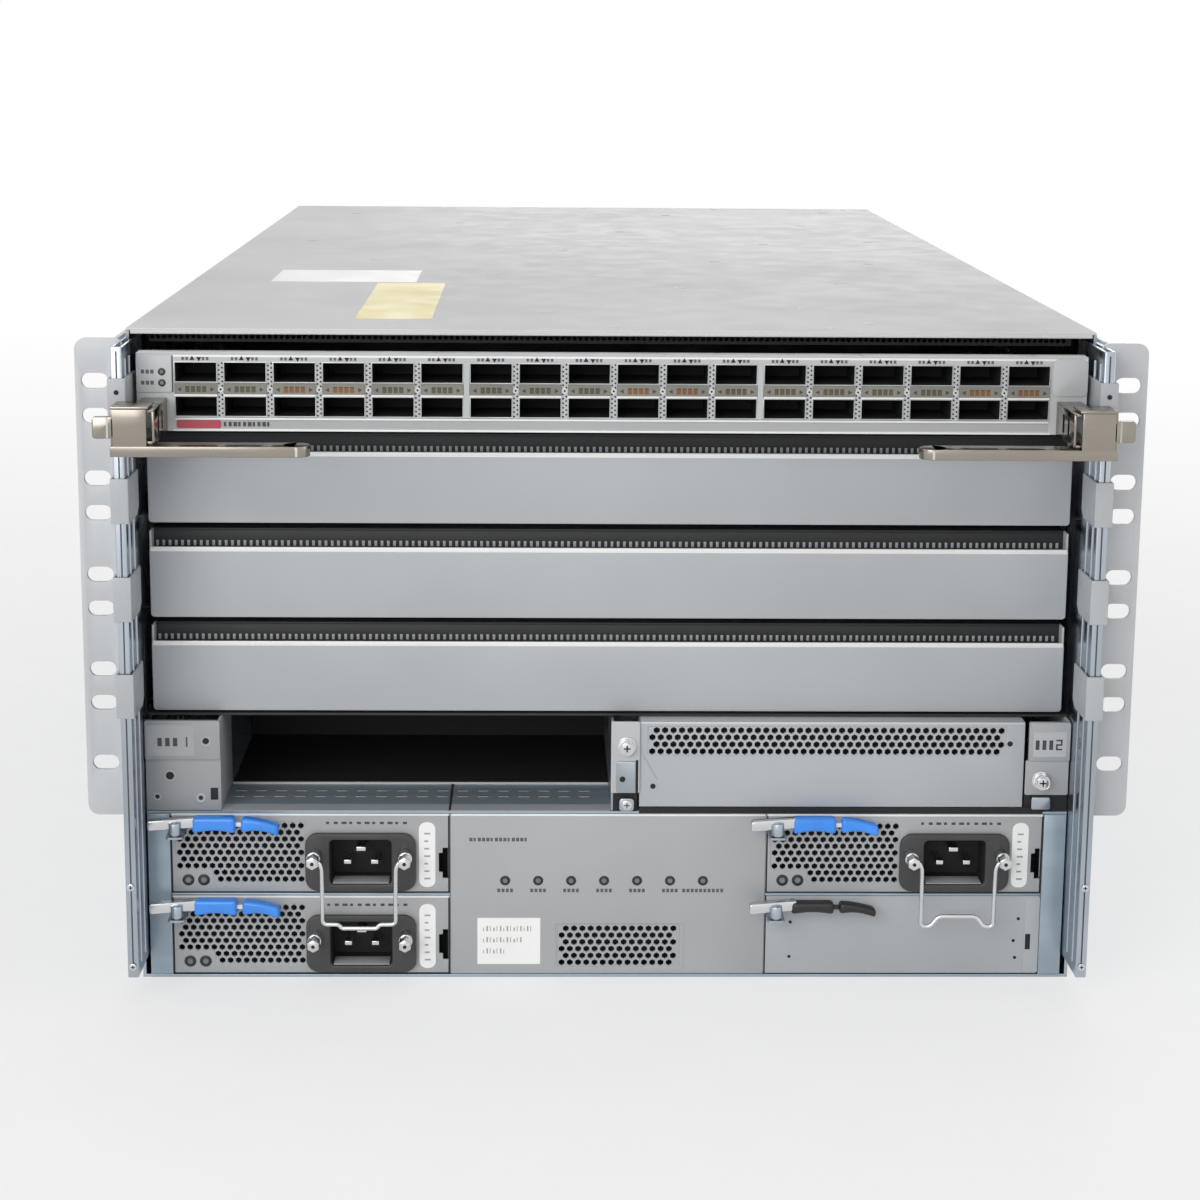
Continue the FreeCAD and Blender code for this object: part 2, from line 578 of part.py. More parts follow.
EJECTOR_Y = ("-card_forward - ejector_reach", "-card_forward")
card_walls = [
    raw("card_faceplate", card_face()),
    block("card_floor", CARD_HALF, ("card_front", "card_depth - card_forward"),
          ("card_z", "card_z + card_gauge")),
    block("card_brow", CARD_HALF, ("card_front", "card_front + card_brow"), ("card_top - card_gauge", "card_top")),
]
for side, word in ((-1, "left"), (1, "right")):
    card_walls.append(block(f"card_side_{word}", mirror_x(side, "module_half - card_gauge", "module_half"),
                            ("card_front", "card_depth - card_forward"), ("card_z", "card_z + card_side")))
    card_walls += [
        block(f"ejector_cheek_{word}", mirror_x(side, "ejector_in", "ejector_in + ejector_gauge"),
              EJECTOR_Y, ("card_z", "ejector_top")),
        block(f"ejector_roof_{word}", mirror_x(side, "ejector_in", "ejector_in + ejector_plate"),
              EJECTOR_Y, ("ejector_top - ejector_gauge", "ejector_top")),
        block(f"ejector_sole_{word}", mirror_x(side, "ejector_in", "ejector_in + ejector_plate"),
              EJECTOR_Y, ("card_z", "card_z + ejector_gauge")),
        rod(f"ejector_pivot_{word}", "z", (f"{side} * pivot_x", "arm_y", "arm_bottom - fit_gap"),
            "pivot_radius", "ejector_top - arm_bottom + fit_gap"),
        rod(f"ejector_rivet_{word}", "z", (f"{side} * pivot_x", "arm_y", "arm_bottom - 2 * fit_gap"),
            "1.2 * pivot_radius", "fit_gap"),
    ]
node("line_card_tray", fuse("card_tray", card_walls))

BOARD_Z = "card_z + card_gauge + fit_gap"
BOARD_TOP = f"{BOARD_Z} + board_gauge"
node("line_card_board", block("card_board", ("board_inset - module_half", "module_half - board_inset"),
                              ("card_back + fit_gap", "card_depth - card_forward - board_inset"),
                              (BOARD_Z, BOARD_TOP)))

cages = []
for column in range(PORT_COLUMNS):
    middle = f"{FIRST_PORT} + {column} * port_pitch"
    outer = (f"{middle} - port_width / 2 - port_wall", f"{middle} + port_width / 2 + port_wall")
    inner = (f"{middle} - port_width / 2", f"{middle} + port_width / 2")
    rows = ("lower_port_z", "upper_port_z")
    shell = [block(f"cage_body_{column}", outer, ("card_back", "card_back + port_depth"),
                   (BOARD_TOP, "upper_port_z + port_height + port_wall"))]
    hollow = [block(f"cage_light_{column}", inner, ("card_back - 1", "card_back + port_depth - port_wall"),
                    ("lower_port_z + port_height + port_wall", "upper_port_z - port_wall"))]
    for level, low in enumerate(rows):
        shell.append(block(f"cage_lip_{column}_{level}", outer, ("card_front", "card_back"),
                           (f"{low} - port_wall", f"{low} + port_height + port_wall")))
        hollow.append(block(f"cage_port_{column}_{level}", inner,
                            ("card_front - 1", "card_back + port_depth - port_wall"),
                            (low, f"{low} + port_height")))
    cages.append(cut(f"cage_{column}", fuse(f"cage_shell_{column}", shell), hollow))
node("port_cages", group("cage_set", cages))

node("port_light_bars", group("light_bars", [
    block(f"light_bar_{column}",
          (f"{FIRST_PORT} + {column} * port_pitch - port_width / 2",
           f"{FIRST_PORT} + {column} * port_pitch + port_width / 2"),
          ("card_front - light_bar_depth", "card_front"),
          ("lower_port_z + port_height + port_frame", "upper_port_z - port_frame"))
    for column in range(PORT_COLUMNS)]))

TILE_Z = ("card_top - tile_height", "card_top - 1")
tile_pieces = [block(f"card_tile_{word}", mirror_x(side, "module_half - tile_width", "module_half"),
                     ("card_front - tile_proud", "card_front"), TILE_Z)
               for side, word in ((-1, "left"), (1, "right"))]
tile_lights = [rod(f"tile_light_{k}", "y",
                   ("tile_light_x - module_half", "card_front - 2 * tile_proud", f"card_top - {drop}"),
                   "tile_light_hole / 2", "1.6 * tile_proud") for k, drop in enumerate(TILE_LIGHT_DROPS)]
node("card_end_tiles", group("tiles", [cut("tile_lit", tile_pieces[0], tile_lights), tile_pieces[1]]))


def ejector(side, word):
    """A nickel lever: a flat arm below the bracket, an upright on the outside and a hook tab."""
    near = "ejector_out + fit_gap"
    arm = fuse(f"arm_{word}", [
        block(f"arm_bar_{word}", mirror_x(side, "pivot_x - arm_length", "pivot_x"),
              ("arm_y - arm_width / 2", "arm_y + arm_width / 2"), ("arm_bottom", "arm_top")),
        rod(f"arm_tip_{word}", "z", (f"{side} * (pivot_x - arm_length)", "arm_y", "arm_bottom"),
            "arm_width / 2", "arm_height"),
        rod(f"arm_root_{word}", "z", (f"{side} * pivot_x", "arm_y", "arm_bottom"),
            "arm_width / 2", "arm_height"),
        block(f"arm_heel_{word}", mirror_x(side, "pivot_x", f"{near} + upright_gauge"),
              ("arm_y - arm_width / 2", "arm_y + arm_width / 2"), ("arm_bottom", "arm_top")),
        block(f"arm_post_{word}", mirror_x(side, near, f"{near} + upright_gauge"),
              ("arm_y - arm_width / 2", "arm_y"), ("arm_bottom", "ejector_top - 1")),
        block(f"arm_tab_{word}", mirror_x(side, near, "ejector_out + tab_length"),
              ("arm_y - arm_width / 2", "arm_y - arm_width / 2 + upright_gauge"),
              ("ejector_top - 1 - tab_height", "ejector_top - 1")),
    ])
    hole = rod(f"arm_hole_{word}", "z", (f"{side} * pivot_x", "arm_y", "arm_bottom - 1"),
               "pivot_radius + pivot_play", "arm_height + 2")
    return cut(f"ejector_{word}", arm, [hole])


for side, word in ((-1, "left"), (1, "right")):
    node(f"ejector_lever_{word}", ejector(side, word))

# ---------------------------------------------------------------- supervisor row

BAY_Z = ("supervisor_z", "cage_floor_z - fit_gap")
LEFT_EDGE = "left_bracket_width - rail_inside + fit_gap"
CENTRE = ("bay_split - centre_bracket_width / 2", "bay_split + centre_bracket_width / 2")
RIGHT_EDGE = "rail_inside - fit_gap - right_bracket_width"
SCREW_X = {"centre": size("bay_split") + 1.6, "right": size("rail_inside") - 13.3}
SCREW_Z = {"centre": size("supervisor_z") + 33.0, "right": size("supervisor_z") + 15.5}


def flat_sheet(x0, x1, y0, y1, z, gauge, holes):
    """A level sheet with holes given as (x0, x1, y0, y1)."""
    outline = [FreeCAD.Vector(x, y, z) for x, y in ((x0, y0), (x1, y0), (x1, y1), (x0, y1), (x0, y0))]
    wires = [Part.makePolygon(outline)]
    for a, b, c, d in holes:
        wires.append(Part.makePolygon([FreeCAD.Vector(x, y, z)
                                       for x, y in ((a, c), (b, c), (b, d), (a, d), (a, c))]))
    return Part.makeFace(wires, "Part::FaceMakerBullseye").extrude(FreeCAD.Vector(0, 0, gauge))


def shelf_slots():
    """Two staggered rows of slots near the shelf's front edge, across the open bay."""
    margin = size("shelf_slot_margin")
    x0, x1 = size("left_bracket_width") - size("rail_inside"), size("bay_split")
    length, width, step = (size(n) for n in ("shelf_slot_length", "shelf_slot_width", "shelf_slot_pitch"))
    slots = []
    for row in range(2):
        for k in range(int((x1 - x0 - 2 * margin) / step)):
            x = x0 + margin + (k + row / 2) * step
            y = size("shelf_slot_first") + row * size("shelf_slot_row")
            slots.append((x, x + length, y, y + width))
    return slots


half_shelf = size("rail_inside") - size("fit_gap")
node("supervisor_shelf", fuse("sup_shelf", [
    raw("sup_shelf_front", flat_sheet(-half_shelf, half_shelf, 0, size("rail_lap") + 2,
                                      size("supervisor_shelf_z"), size("shelf_gauge"), shelf_slots())),
    block("sup_shelf_rear", ("-half_inside", "half_inside"), (LAP, "supervisor_depth"),
          ("supervisor_shelf_z", "supervisor_shelf_z + shelf_gauge")),
]))


def screw_piece(word):
    """One of the row's captive screws, standing out of its bracket's face."""
    return raw(f"screw_{word}", captive_screw(SCREW_X[word], 0, SCREW_Z[word], size("small_screw_radius"),
                                              size("screw_height"), True))


node("supervisor_bracket_left", fuse("sup_left", [
    block("sup_left_plate", ("fit_gap - rail_inside", LEFT_EDGE), ("0", "shelf_gauge"), BAY_Z),
    block("sup_left_tile", ("fit_gap - rail_inside", f"{LEFT_EDGE} - shelf_gauge"), ("-bracket_tile", "0"),
          ("supervisor_z + bracket_tile_rise", "cage_floor_z - fit_gap")),
    block("sup_left_flange", (f"{LEFT_EDGE} - shelf_gauge", LEFT_EDGE), ("0", "bracket_flange"), BAY_Z),
]))
node("supervisor_bracket_centre", fuse("sup_centre", [
    block("sup_centre_plate", CENTRE, ("0", "shelf_gauge"), BAY_Z),
    block("sup_centre_left", (CENTRE[0], f"{CENTRE[0]} + shelf_gauge"), ("0", "bracket_flange"), BAY_Z),
    block("sup_centre_right", (f"{CENTRE[1]} - shelf_gauge", CENTRE[1]), ("0", "bracket_flange"), BAY_Z),
    screw_piece("centre"),
]))
node("supervisor_bracket_right", fuse("sup_right", [
    block("sup_right_plate", (RIGHT_EDGE, "rail_inside - fit_gap"), ("0", "shelf_gauge"), BAY_Z),
    block("sup_right_flange", (RIGHT_EDGE, f"{RIGHT_EDGE} + shelf_gauge"), ("0", "bracket_flange"), BAY_Z),
    screw_piece("right"),
]))


def supervisor_blank():
    """A folded blank with a band of fine intake holes along its top and an open back."""
    x0 = size("bay_split") + size("centre_bracket_width") / 2 + 3 * size("fit_gap")
    x1 = size("rail_inside") - size("right_bracket_width") - 4 * size("fit_gap")
    z0, z1 = size("supervisor_z") + 2, size("cage_floor_z") - 2 * size("fit_gap")
    gauge, depth = size("shelf_gauge"), size("supervisor_blank_depth")
    top = z1 - size("blank_strip_drop")
    holes = hex_field(x0 + size("blank_strip_left"), x1 - size("blank_strip_right"),
                      top - size("blank_strip_height"), top, size("blank_strip_hole"),
                      size("blank_strip_pitch"))
    pieces = [pierced(x0, x1, z0, z1, 0, gauge, holes),
              solid_box(x0, x1, 0, depth, z1 - gauge, z1), solid_box(x0, x1, 0, depth, z0, z0 + gauge)]
    for x in (x0, x1 - gauge):
        pieces.append(solid_box(x, x + gauge, 0, depth, z0, z1))
    return pieces[0].fuse(pieces[1:]).removeSplitter()


shape_node("supervisor_blank", supervisor_blank())

# ---------------------------------------------------------------- power bay and indicator panel

BAY_TOP = "supervisor_shelf_z - fit_gap"
bay = []
for side, word in ((-1, "left"), (1, "right")):
    bay.append(fuse(f"bay_side_{word}", [
        block(f"bay_flange_{word}", mirror_x(side, "psu_outer + fit_gap", "rail_inside - fit_gap"),
              ("0", "shelf_gauge"), ("wall_gauge", BAY_TOP)),
        block(f"bay_wall_{word}", mirror_x(side, "psu_outer + fit_gap", "psu_outer + fit_gap + shelf_gauge"),
              ("0", "psu_depth + 10"), ("wall_gauge", BAY_TOP)),
        block(f"bay_ledge_{word}", mirror_x(side, "panel_width / 2 - shelf_gauge",
                                            "psu_outer + fit_gap"),
              ("bracket_flange + fit_gap", "psu_depth + 10"), ("ledge_z", "ledge_z + shelf_gauge")),
        block(f"bay_inner_{word}", mirror_x(side, "panel_width / 2 - shelf_gauge", "panel_width / 2"),
              ("bracket_flange + fit_gap", "psu_depth + 10"), ("wall_gauge", BAY_TOP)),
    ]))
node("power_bay", group("bay", bay))


def light_centres():
    """Where the panel's lights stand along X."""
    first = -(PANEL_LIGHTS - 1) / 2 * size("panel_light_pitch") - size("panel_light_shift")
    return [first + k * size("panel_light_pitch") for k in range(PANEL_LIGHTS)]


def indicator_panel():
    """The middle panel with seven light holes and an intake grille."""
    half, gauge = size("panel_width") / 2, size("shelf_gauge")
    z0, z1 = size("wall_gauge"), size("supervisor_shelf_z") - size("fit_gap")
    holes = [circle(x, size("panel_light_z"), size("panel_light") / 2) for x in light_centres()]
    holes += hex_field(-size("grille_left"), size("grille_right"), size("grille_low"), size("grille_high"),
                       size("grille_hole"), size("grille_pitch"))
    pieces = [pierced(-half, half, z0, z1, 0, gauge, holes)]
    depth = size("bracket_flange")
    for x in (-half, half - gauge):
        pieces.append(solid_box(x, x + gauge, 0, depth, z0, z1))
    return pieces[0].fuse(pieces[1:]).removeSplitter()


shape_node("indicator_panel", indicator_panel())
node("panel_lights", group("panel_light_set", [
    rod(f"panel_light_{k}", "y", (f"{x}", "light_setback", "panel_light_z"),
        "panel_light / 2 - light_play", "light_depth")
    for k, x in enumerate(light_centres())]))

# ---------------------------------------------------------------- power supplies

POWER_PLACES = (("1", -1, "upper_psu_z"), ("2", -1, "lower_psu_z"), ("3", 1, "upper_psu_z"))


def place_left(side):
    """The low-X edge of a power supply on one side."""
    return size("psu_inner") if side > 0 else -size("psu_outer")


def lever_mount(x, y, z, forward=True):
    """Two ears and a pin that carry a latch lever; the pin stands upright."""
    sign = -1 if forward else 1
    near, gap = size("lever_ear"), size("lever_height") / 2 + size("fit_gap")
    half, reach = size("lever_ear_half"), size("lever_forward") + size("lever_ear_nose")
    low, high = sorted((y, y + sign * reach))
    ears = [solid_box(x - half, x + half, low, high, z - gap - near, z - gap),
            solid_box(x - half, x + half, low, high, z + gap, z + gap + near)]
    pin = Part.makeCylinder(size("hinge_radius"), 2 * (gap + near),
                            FreeCAD.Vector(x, y + sign * size("lever_forward"), z - gap - near))
    return ears + [pin]


def latch_lever(x, y, z, forward=True):
    """A zinc link with a hook end and a two-part finger grip, drawn along +X from its pivot."""
    sign = -1 if forward else 1
    mid = y + sign * size("lever_forward")
    half_gauge, half_height = size("lever_gauge") / 2, size("lever_height") / 2
    grip_half = size("grip_gauge") / 2
    grip_z = z + (size("grip_rise") if forward else 0)
    low, high = grip_z - size("grip_height") / 2, grip_z + size("grip_height") / 2
    link = solid_box(x - size("lever_tail"), x + size("grip_start"), mid - half_gauge, mid + half_gauge,
                     z - half_height, z + half_height)
    link = link.cut(Part.makeCylinder(size("hinge_radius") + size("bail_play"), 4 * half_height,
                                      FreeCAD.Vector(x, mid, z - 2 * half_height)))
    start, length = x + size("grip_start"), size("grip_length")
    meet, end = start + length * GRIP_SHARE, start + length - grip_half
    first = solid_box(start, meet - size("grip_joint"), mid - grip_half, mid + grip_half, low, high)
    neck = solid_box(start, end, mid - half_gauge / 2, mid + half_gauge / 2, z - half_height, z + half_height)
    second = solid_box(meet, end, mid - grip_half, mid + grip_half, low, high)
    tip = Part.makeCylinder(grip_half, high - low, FreeCAD.Vector(end, mid, low))
    return link.fuse([first, neck, second, tip]).removeSplitter()


def psu_fan(x, y, z):
    """A small fan fixed inside a power supply: its plate, its spokes, its hub and its blades."""
    radius, depth, plate_depth = size("psu_fan_radius"), size("psu_fan_depth"), size("psu_fan_plate")
    half, spoke = size("psu_height") / 2 - size("psu_gauge"), size("psu_fan_spoke") / 2
    axis, end = FreeCAD.Vector(0, 1, 0), size("psu_blade_end")
    plate = solid_box(x - half, x + half, y, y + plate_depth, z - half, z + half)
    plate = plate.cut(Part.makeCylinder(radius, 3 * plate_depth, FreeCAD.Vector(x, y - plate_depth, z), axis))
    pieces = [Part.makeCylinder(size("psu_fan_hub"), depth, FreeCAD.Vector(x, y, z), axis),
              solid_box(x - radius - 1, x + radius + 1, y, y + plate_depth, z - spoke, z + spoke)]
    pieces += blades(x, y + end, z, size("psu_blade_root"), size("psu_blade_tip"), depth - 2 * end,
                     size("psu_blade_gauge"), PSU_BLADES)
    return plate.fuse(pieces).removeSplitter()


def blades(x, y, z, inner, outer, depth, gauge, count):
    """Flat pitched blades round an axis along Y, trimmed to their tip radius."""
    axis = FreeCAD.Vector(0, 1, 0)
    limit = Part.makeCylinder(outer, depth, FreeCAD.Vector(x, y, z), axis)
    spare = 1.3 * depth
    made = []
    for k in range(count):
        blade = Part.makeBox(outer - inner + 2 * gauge, spare, gauge,
                             FreeCAD.Vector(inner, -spare / 2, -gauge / 2))
        blade.rotate(FreeCAD.Vector(), FreeCAD.Vector(1, 0, 0), BLADE_PITCH)
        blade.rotate(FreeCAD.Vector(), axis, 360.0 / count * k)
        blade.translate(FreeCAD.Vector(x, y + depth / 2, z))
        made.append(blade.common(limit))
    return made


def psu_case(x, z):
    """A thin case with an intake grille, an inlet hole, a fan behind it and the lever's ears."""
    gauge, width = size("psu_gauge"), size("psu_width")
    height, depth = size("psu_height"), size("psu_depth")
    inlet_x, inlet_z = x + size("inlet_x"), z + size("inlet_z")
    half_w = size("socket_width") / 2 + size("socket_clear")
    half_h = size("socket_height") / 2 + size("socket_clear")
    holes = hex_field(x + size("psu_mesh_left"), x + size("psu_mesh_right"), z + size("psu_mesh_low"),
                      z + size("psu_mesh_high"), size("grille_hole"), size("grille_pitch"))
    holes.append(rectangle(inlet_x - half_w, inlet_x + half_w, inlet_z - half_h, inlet_z + half_h))
    side, edge = size("vent_side"), size("vent_edge")
    back_vents = hex_field(x + side, x + width - side, z + edge, z + height - edge, size("vent_hole"),
                           size("vent_pitch"))
    sleeve = solid_box(x, x + width, gauge, depth - gauge, z, z + height)
    sleeve = sleeve.cut(solid_box(x + gauge, x + width - gauge, 0, depth, z + gauge, z + height - gauge))
    pieces = [pierced(x, x + width, z, z + height, depth - gauge, gauge, back_vents), sleeve]
    pieces += lever_mount(x + size("lever_pivot"), 0, z + size("lever_z"))
    pieces.append(psu_fan(x + size("psu_fan_x"), size("psu_fan_y"), z + size("psu_fan_z")))
    front = pierced(x, x + width, z, z + height, 0, gauge, holes)
    return front.fuse(pieces).removeSplitter()


def inlet(x, z):
    """The black bezel with its socket, three blades and two bored standoffs."""
    cx, cz, post_z = x + size("inlet_x"), z + size("inlet_z"), bail_z(z)
    half_w, half_h = size("bezel_width") / 2, size("bezel_height") / 2
    sock_w, sock_h = size("socket_width") / 2, size("socket_height") / 2
    proud, depth = size("bezel_proud"), size("socket_depth")
    wall, base = size("socket_wall"), size("socket_base")
    plate = solid_box(cx - half_w, cx + half_w, -proud, 0, cz - half_h, cz + half_h)
    corners = [edge for edge in plate.Edges if edge.BoundBox.YLength > proud / 2]
    plate = plate.makeFillet(size("bezel_corner"), corners)
    cup = solid_box(cx - sock_w - wall, cx + sock_w + wall, 0, depth, cz - sock_h - wall, cz + sock_h + wall)
    body = plate.fuse(cup)
    body = body.cut(solid_box(cx - sock_w, cx + sock_w, -2 * proud, depth - base, cz - sock_h, cz + sock_h))
    half_pin, half_gauge = size("pin_width") / 2, size("pin_gauge") / 2
    pins = [solid_box(cx + dx - half_pin, cx + dx + half_pin, depth - base - size("pin_length"), depth - base,
                      cz + dz - half_gauge, cz + dz + half_gauge) for dx, dz in INLET_PINS]
    spread, radius = size("standoff_spread") / 2, size("standoff_radius")
    posts = [Part.makeCylinder(radius, size("standoff_length"), FreeCAD.Vector(cx + s * spread, -proud, post_z),
                               FreeCAD.Vector(0, -1, 0)) for s in (-1, 1)]
    body = body.fuse(pins + posts)
    bore = Part.makeCylinder(size("bail_wire") + size("bail_play"), 2 * spread + 4 * radius,
                             FreeCAD.Vector(cx - spread - 2 * radius, bail_y(), post_z),
                             FreeCAD.Vector(1, 0, 0))
    stop = solid_box(cx - spread + radius, cx + spread - radius, bail_y() - radius, bail_y() + radius,
                     post_z - radius, post_z + radius)
    return body.cut(bore.cut(stop)).removeSplitter()


def bail_y():
    """How far forward the bail's pins lie."""
    return size("bail_inset") - size("bezel_proud") - size("standoff_length")


def bail_z(z):
    """The level of the standoffs and the bail's pins of the supply whose base is at z."""
    return z + size("inlet_z") + size("standoff_rise")


def bail(x, z, step):
    """A wire bail: stub pins in the standoffs, two legs and a bar stepped up or down in its middle."""
    cx, cz, y = x + size("inlet_x"), bail_z(z), bail_y()
    wire, slope = size("bail_wire"), size("bail_slope")
    pin = size("standoff_spread") / 2 - 0.4 * size("standoff_radius")
    leg = size("standoff_spread") / 2 - size("standoff_radius") - wire - size("fit_gap")
    low, inner = cz - size("bail_drop"), leg / 2
    path = [(-pin, cz), (-leg, cz), (-leg, low), (-inner, low), (-inner + slope, low + step),
            (inner - slope, low + step), (inner, low), (leg, low), (leg, cz), (pin, cz)]
    points = [FreeCAD.Vector(cx + a, y, b) for a, b in path]
    pieces = []
    for start, end in zip(points, points[1:]):
        pieces.append(Part.makeCylinder(wire, (end - start).Length, start, end - start))
    pieces += [Part.makeSphere(wire, point) for point in points[1:-1]]
    return pieces[0].fuse(pieces[1:]).removeSplitter()


for tag, side, level in POWER_PLACES:
    left, low = place_left(side), size(level)
    shape_node(f"power_supply_{tag}", psu_case(left, low))
    shape_node(f"power_inlet_{tag}", inlet(left, low))
    shape_node(f"power_lever_{tag}", latch_lever(left + size("lever_pivot"), 0, low + size("lever_z")))
    if tag != "2":
        step = size("bail_step") * (-1 if tag == "1" else 1)
        shape_node(f"wire_bail_{tag}", bail(left, low, step))


def power_blank():
    """A folded blank for an empty power bay, with the lever's ears."""
    x, z = place_left(1), size("lower_psu_z")
    width, height = size("psu_width"), size("psu_height")
    depth, gauge = size("filler_depth"), size("psu_gauge")
    box = solid_box(x, x + width, 0, depth, z, z + height)
    box = box.cut(solid_box(x + gauge, x + width - gauge, gauge, depth + 1, z + gauge, z + height - gauge))
    return box.fuse(lever_mount(x + size("lever_pivot"), 0, z + size("lever_z"))).removeSplitter()


shape_node("power_blank", power_blank())
shape_node("power_blank_lever", latch_lever(place_left(1) + size("lever_pivot"), 0,
                                            size("lower_psu_z") + size("lever_z")))

# ---------------------------------------------------------------- fan trays


def fan_frame(x, z):
    """A fan housing with its bore, three rear struts, a motor seat and the rotor's stub shaft."""
    half, depth, y = size("fan_size") / 2, size("fan_depth"), size("fan_y")
    axis = FreeCAD.Vector(0, 1, 0)
    frame = solid_box(x - half, x + half, y, y + depth, z - half, z + half)
    frame = frame.cut(Part.makeCylinder(size("fan_bore"), depth + 2, FreeCAD.Vector(x, y - 1, z), axis))
    seat_depth, wide = size("motor_seat"), size("strut_width")
    seat = Part.makeCylinder(size("fan_hub"), seat_depth, FreeCAD.Vector(x, y + depth - seat_depth, z), axis)
    stub = Part.makeCylinder(size("fan_stub"), size("rotor_depth"),
                             FreeCAD.Vector(x, y + depth - wide - size("rotor_depth"), z), axis)
    struts = []
    for k in range(3):
        strut = Part.makeBox(size("fan_bore") + 1, wide, wide, FreeCAD.Vector(0, 0, -wide / 2))
        strut.rotate(FreeCAD.Vector(), axis, 90 + 120 * k)
        strut.translate(FreeCAD.Vector(x, y + depth - (seat_depth + wide) / 2, z))
        struts.append(strut)
    return frame.fuse([seat, stub] + struts).removeSplitter()


def rotor(x, z):
    """A fan rotor with a cup hub, a bore for the stub shaft and pitched blades."""
    depth = size("rotor_depth")
    back = size("fan_y") + size("fan_depth") - size("motor_seat") - 2 * size("fit_gap")
    axis = FreeCAD.Vector(0, 1, 0)
    hub = Part.makeCylinder(size("fan_hub"), depth, FreeCAD.Vector(x, back - depth, z), axis)
    pitched = blades(x, back - depth, z, size("fan_hub") - size("blade_seat"), size("fan_tip"), depth,
                     size("blade_gauge"), TRAY_BLADES)
    bore = Part.makeCylinder(size("fan_stub") + size("bail_play"), depth + 2,
                             FreeCAD.Vector(x, back - depth - 1, z), axis)
    return hub.fuse(pitched).cut(bore).removeSplitter()


def tray_case(x):
    """The tray's sheet box with a grille face, a top flange and a captive screw, and its two fans."""
    half, gauge, face = size("tray_half"), size("tray_gauge"), size("tray_face")
    front, z0, z1 = size("tray_front"), size("tray_z"), size("tray_top")
    sleeve = solid_box(x - half, x + half, front, face - gauge / 2, z0, z1)
    sleeve = sleeve.cut(solid_box(x - half + gauge, x + half - gauge, front - 1, face,
                                  z0 + gauge, z1 - gauge))
    side = half - size("tray_mesh_side")
    holes = hex_field(x - side, x + side, z0 + size("tray_mesh_low"), z1 - size("tray_mesh_high"),
                      size("tray_hole"), size("tray_hole_pitch"))
    grille = pierced(x - half, x + half, z0, z1, face - gauge, gauge, holes)
    flange = solid_box(x - half, x + half, size("body_depth"), size("body_depth") + gauge,
                       z1 - gauge, z1 + size("tray_flange"))
    screw = captive_screw(x - size("tray_screw_offset"), size("body_depth") + gauge,
                          z1 + size("tray_screw_rise"), size("small_screw_radius"), size("screw_height"), False)
    case = sleeve.fuse([grille, flange, screw]).removeSplitter()
    return Part.makeCompound([case, fan_frame(x, size("lower_fan_z")), fan_frame(x, size("upper_fan_z"))])


def handles(x):
    """Two bent tube handles, one near the top of the tray and one near its foot."""
    bars = []
    half, reach = size("handle_width") / 2, size("handle_reach")
    bend, radius, face = size("handle_bend"), size("handle_radius"), size("tray_face")
    for z in (size("tray_top") - size("handle_inset"), size("tray_z") + size("handle_inset") - 3):
        a, b = FreeCAD.Vector(x - half, face, z), FreeCAD.Vector(x - half, face + reach - bend, z)
        c, d = FreeCAD.Vector(x - half + bend, face + reach, z), FreeCAD.Vector(x + half - bend, face + reach, z)
        e, f = FreeCAD.Vector(x + half, face + reach - bend, z), FreeCAD.Vector(x + half, face, z)
        slant = bend * (1 - math.sqrt(0.5))
        first = FreeCAD.Vector(x - half + slant, face + reach - slant, z)
        second = FreeCAD.Vector(x + half - slant, face + reach - slant, z)
        path = Part.Wire([Part.makeLine(a, b), Part.Arc(b, first, c).toShape(), Part.makeLine(c, d),
                          Part.Arc(d, second, e).toShape(), Part.makeLine(e, f)])
        ring = Part.Wire(Part.makeCircle(radius, a, FreeCAD.Vector(0, 1, 0)))
        bars.append(path.makePipeShell([ring], True, False))
    return Part.makeCompound(bars)


for tag, place in (("left", -1), ("centre", 0), ("right", 1)):
    middle = place * size("tray_pitch")
    shape_node(f"fan_tray_{tag}", tray_case(middle))
    shape_node(f"tray_handles_{tag}", handles(middle))
    shape_node(f"fan_rotor_{tag}_upper", rotor(middle, size("upper_fan_z")))
    shape_node(f"fan_rotor_{tag}_lower", rotor(middle, size("lower_fan_z")))

# ---------------------------------------------------------------- rear: controllers, panels, fabric


def controller(x):
    """A controller tray with its rear face, its captive screws, its lever ears and its board."""
    width, height = size("controller_width"), size("controller_height")
    depth, gauge, z = size("controller_depth"), size("controller_gauge"), size("lower_psu_z")
    back = size("body_depth")
    pieces = [solid_box(x, x + width, back - depth, back, z, z + gauge),
              solid_box(x, x + gauge, back - depth, back, z, z + height),
              solid_box(x + width - gauge, x + width, back - depth, back, z, z + height),
              captive_screw(x + size("controller_screw_x"), back, z + size("controller_screw_z"),
                            size("screw_radius"), size("screw_height"), False)]
    pieces += lever_mount(x + size("controller_lever_x"), back, z + size("controller_lever_z"), False)
    face = solid_box(x, x + width, back - gauge, back, z, z + height)
    margin, board_z = size("board_margin"), z + gauge + size("fit_gap")
    board = solid_box(x + margin, x + width - margin, back - depth + margin, back - gauge - margin / 2,
                      board_z, board_z + size("board_gauge"))
    return Part.makeCompound([face.fuse(pieces).removeSplitter(), board])


CONTROLLERS = (("1", -size("controller_offset")),
               ("2", -size("controller_offset") - size("controller_width") - size("fit_gap")))
for tag, left in CONTROLLERS:
    shape_node(f"system_controller_{tag}", controller(left))
    shape_node(f"controller_lever_{tag}",
               latch_lever(left + size("controller_lever_x"), size("body_depth"),
                           size("lower_psu_z") + size("controller_lever_z"), False))


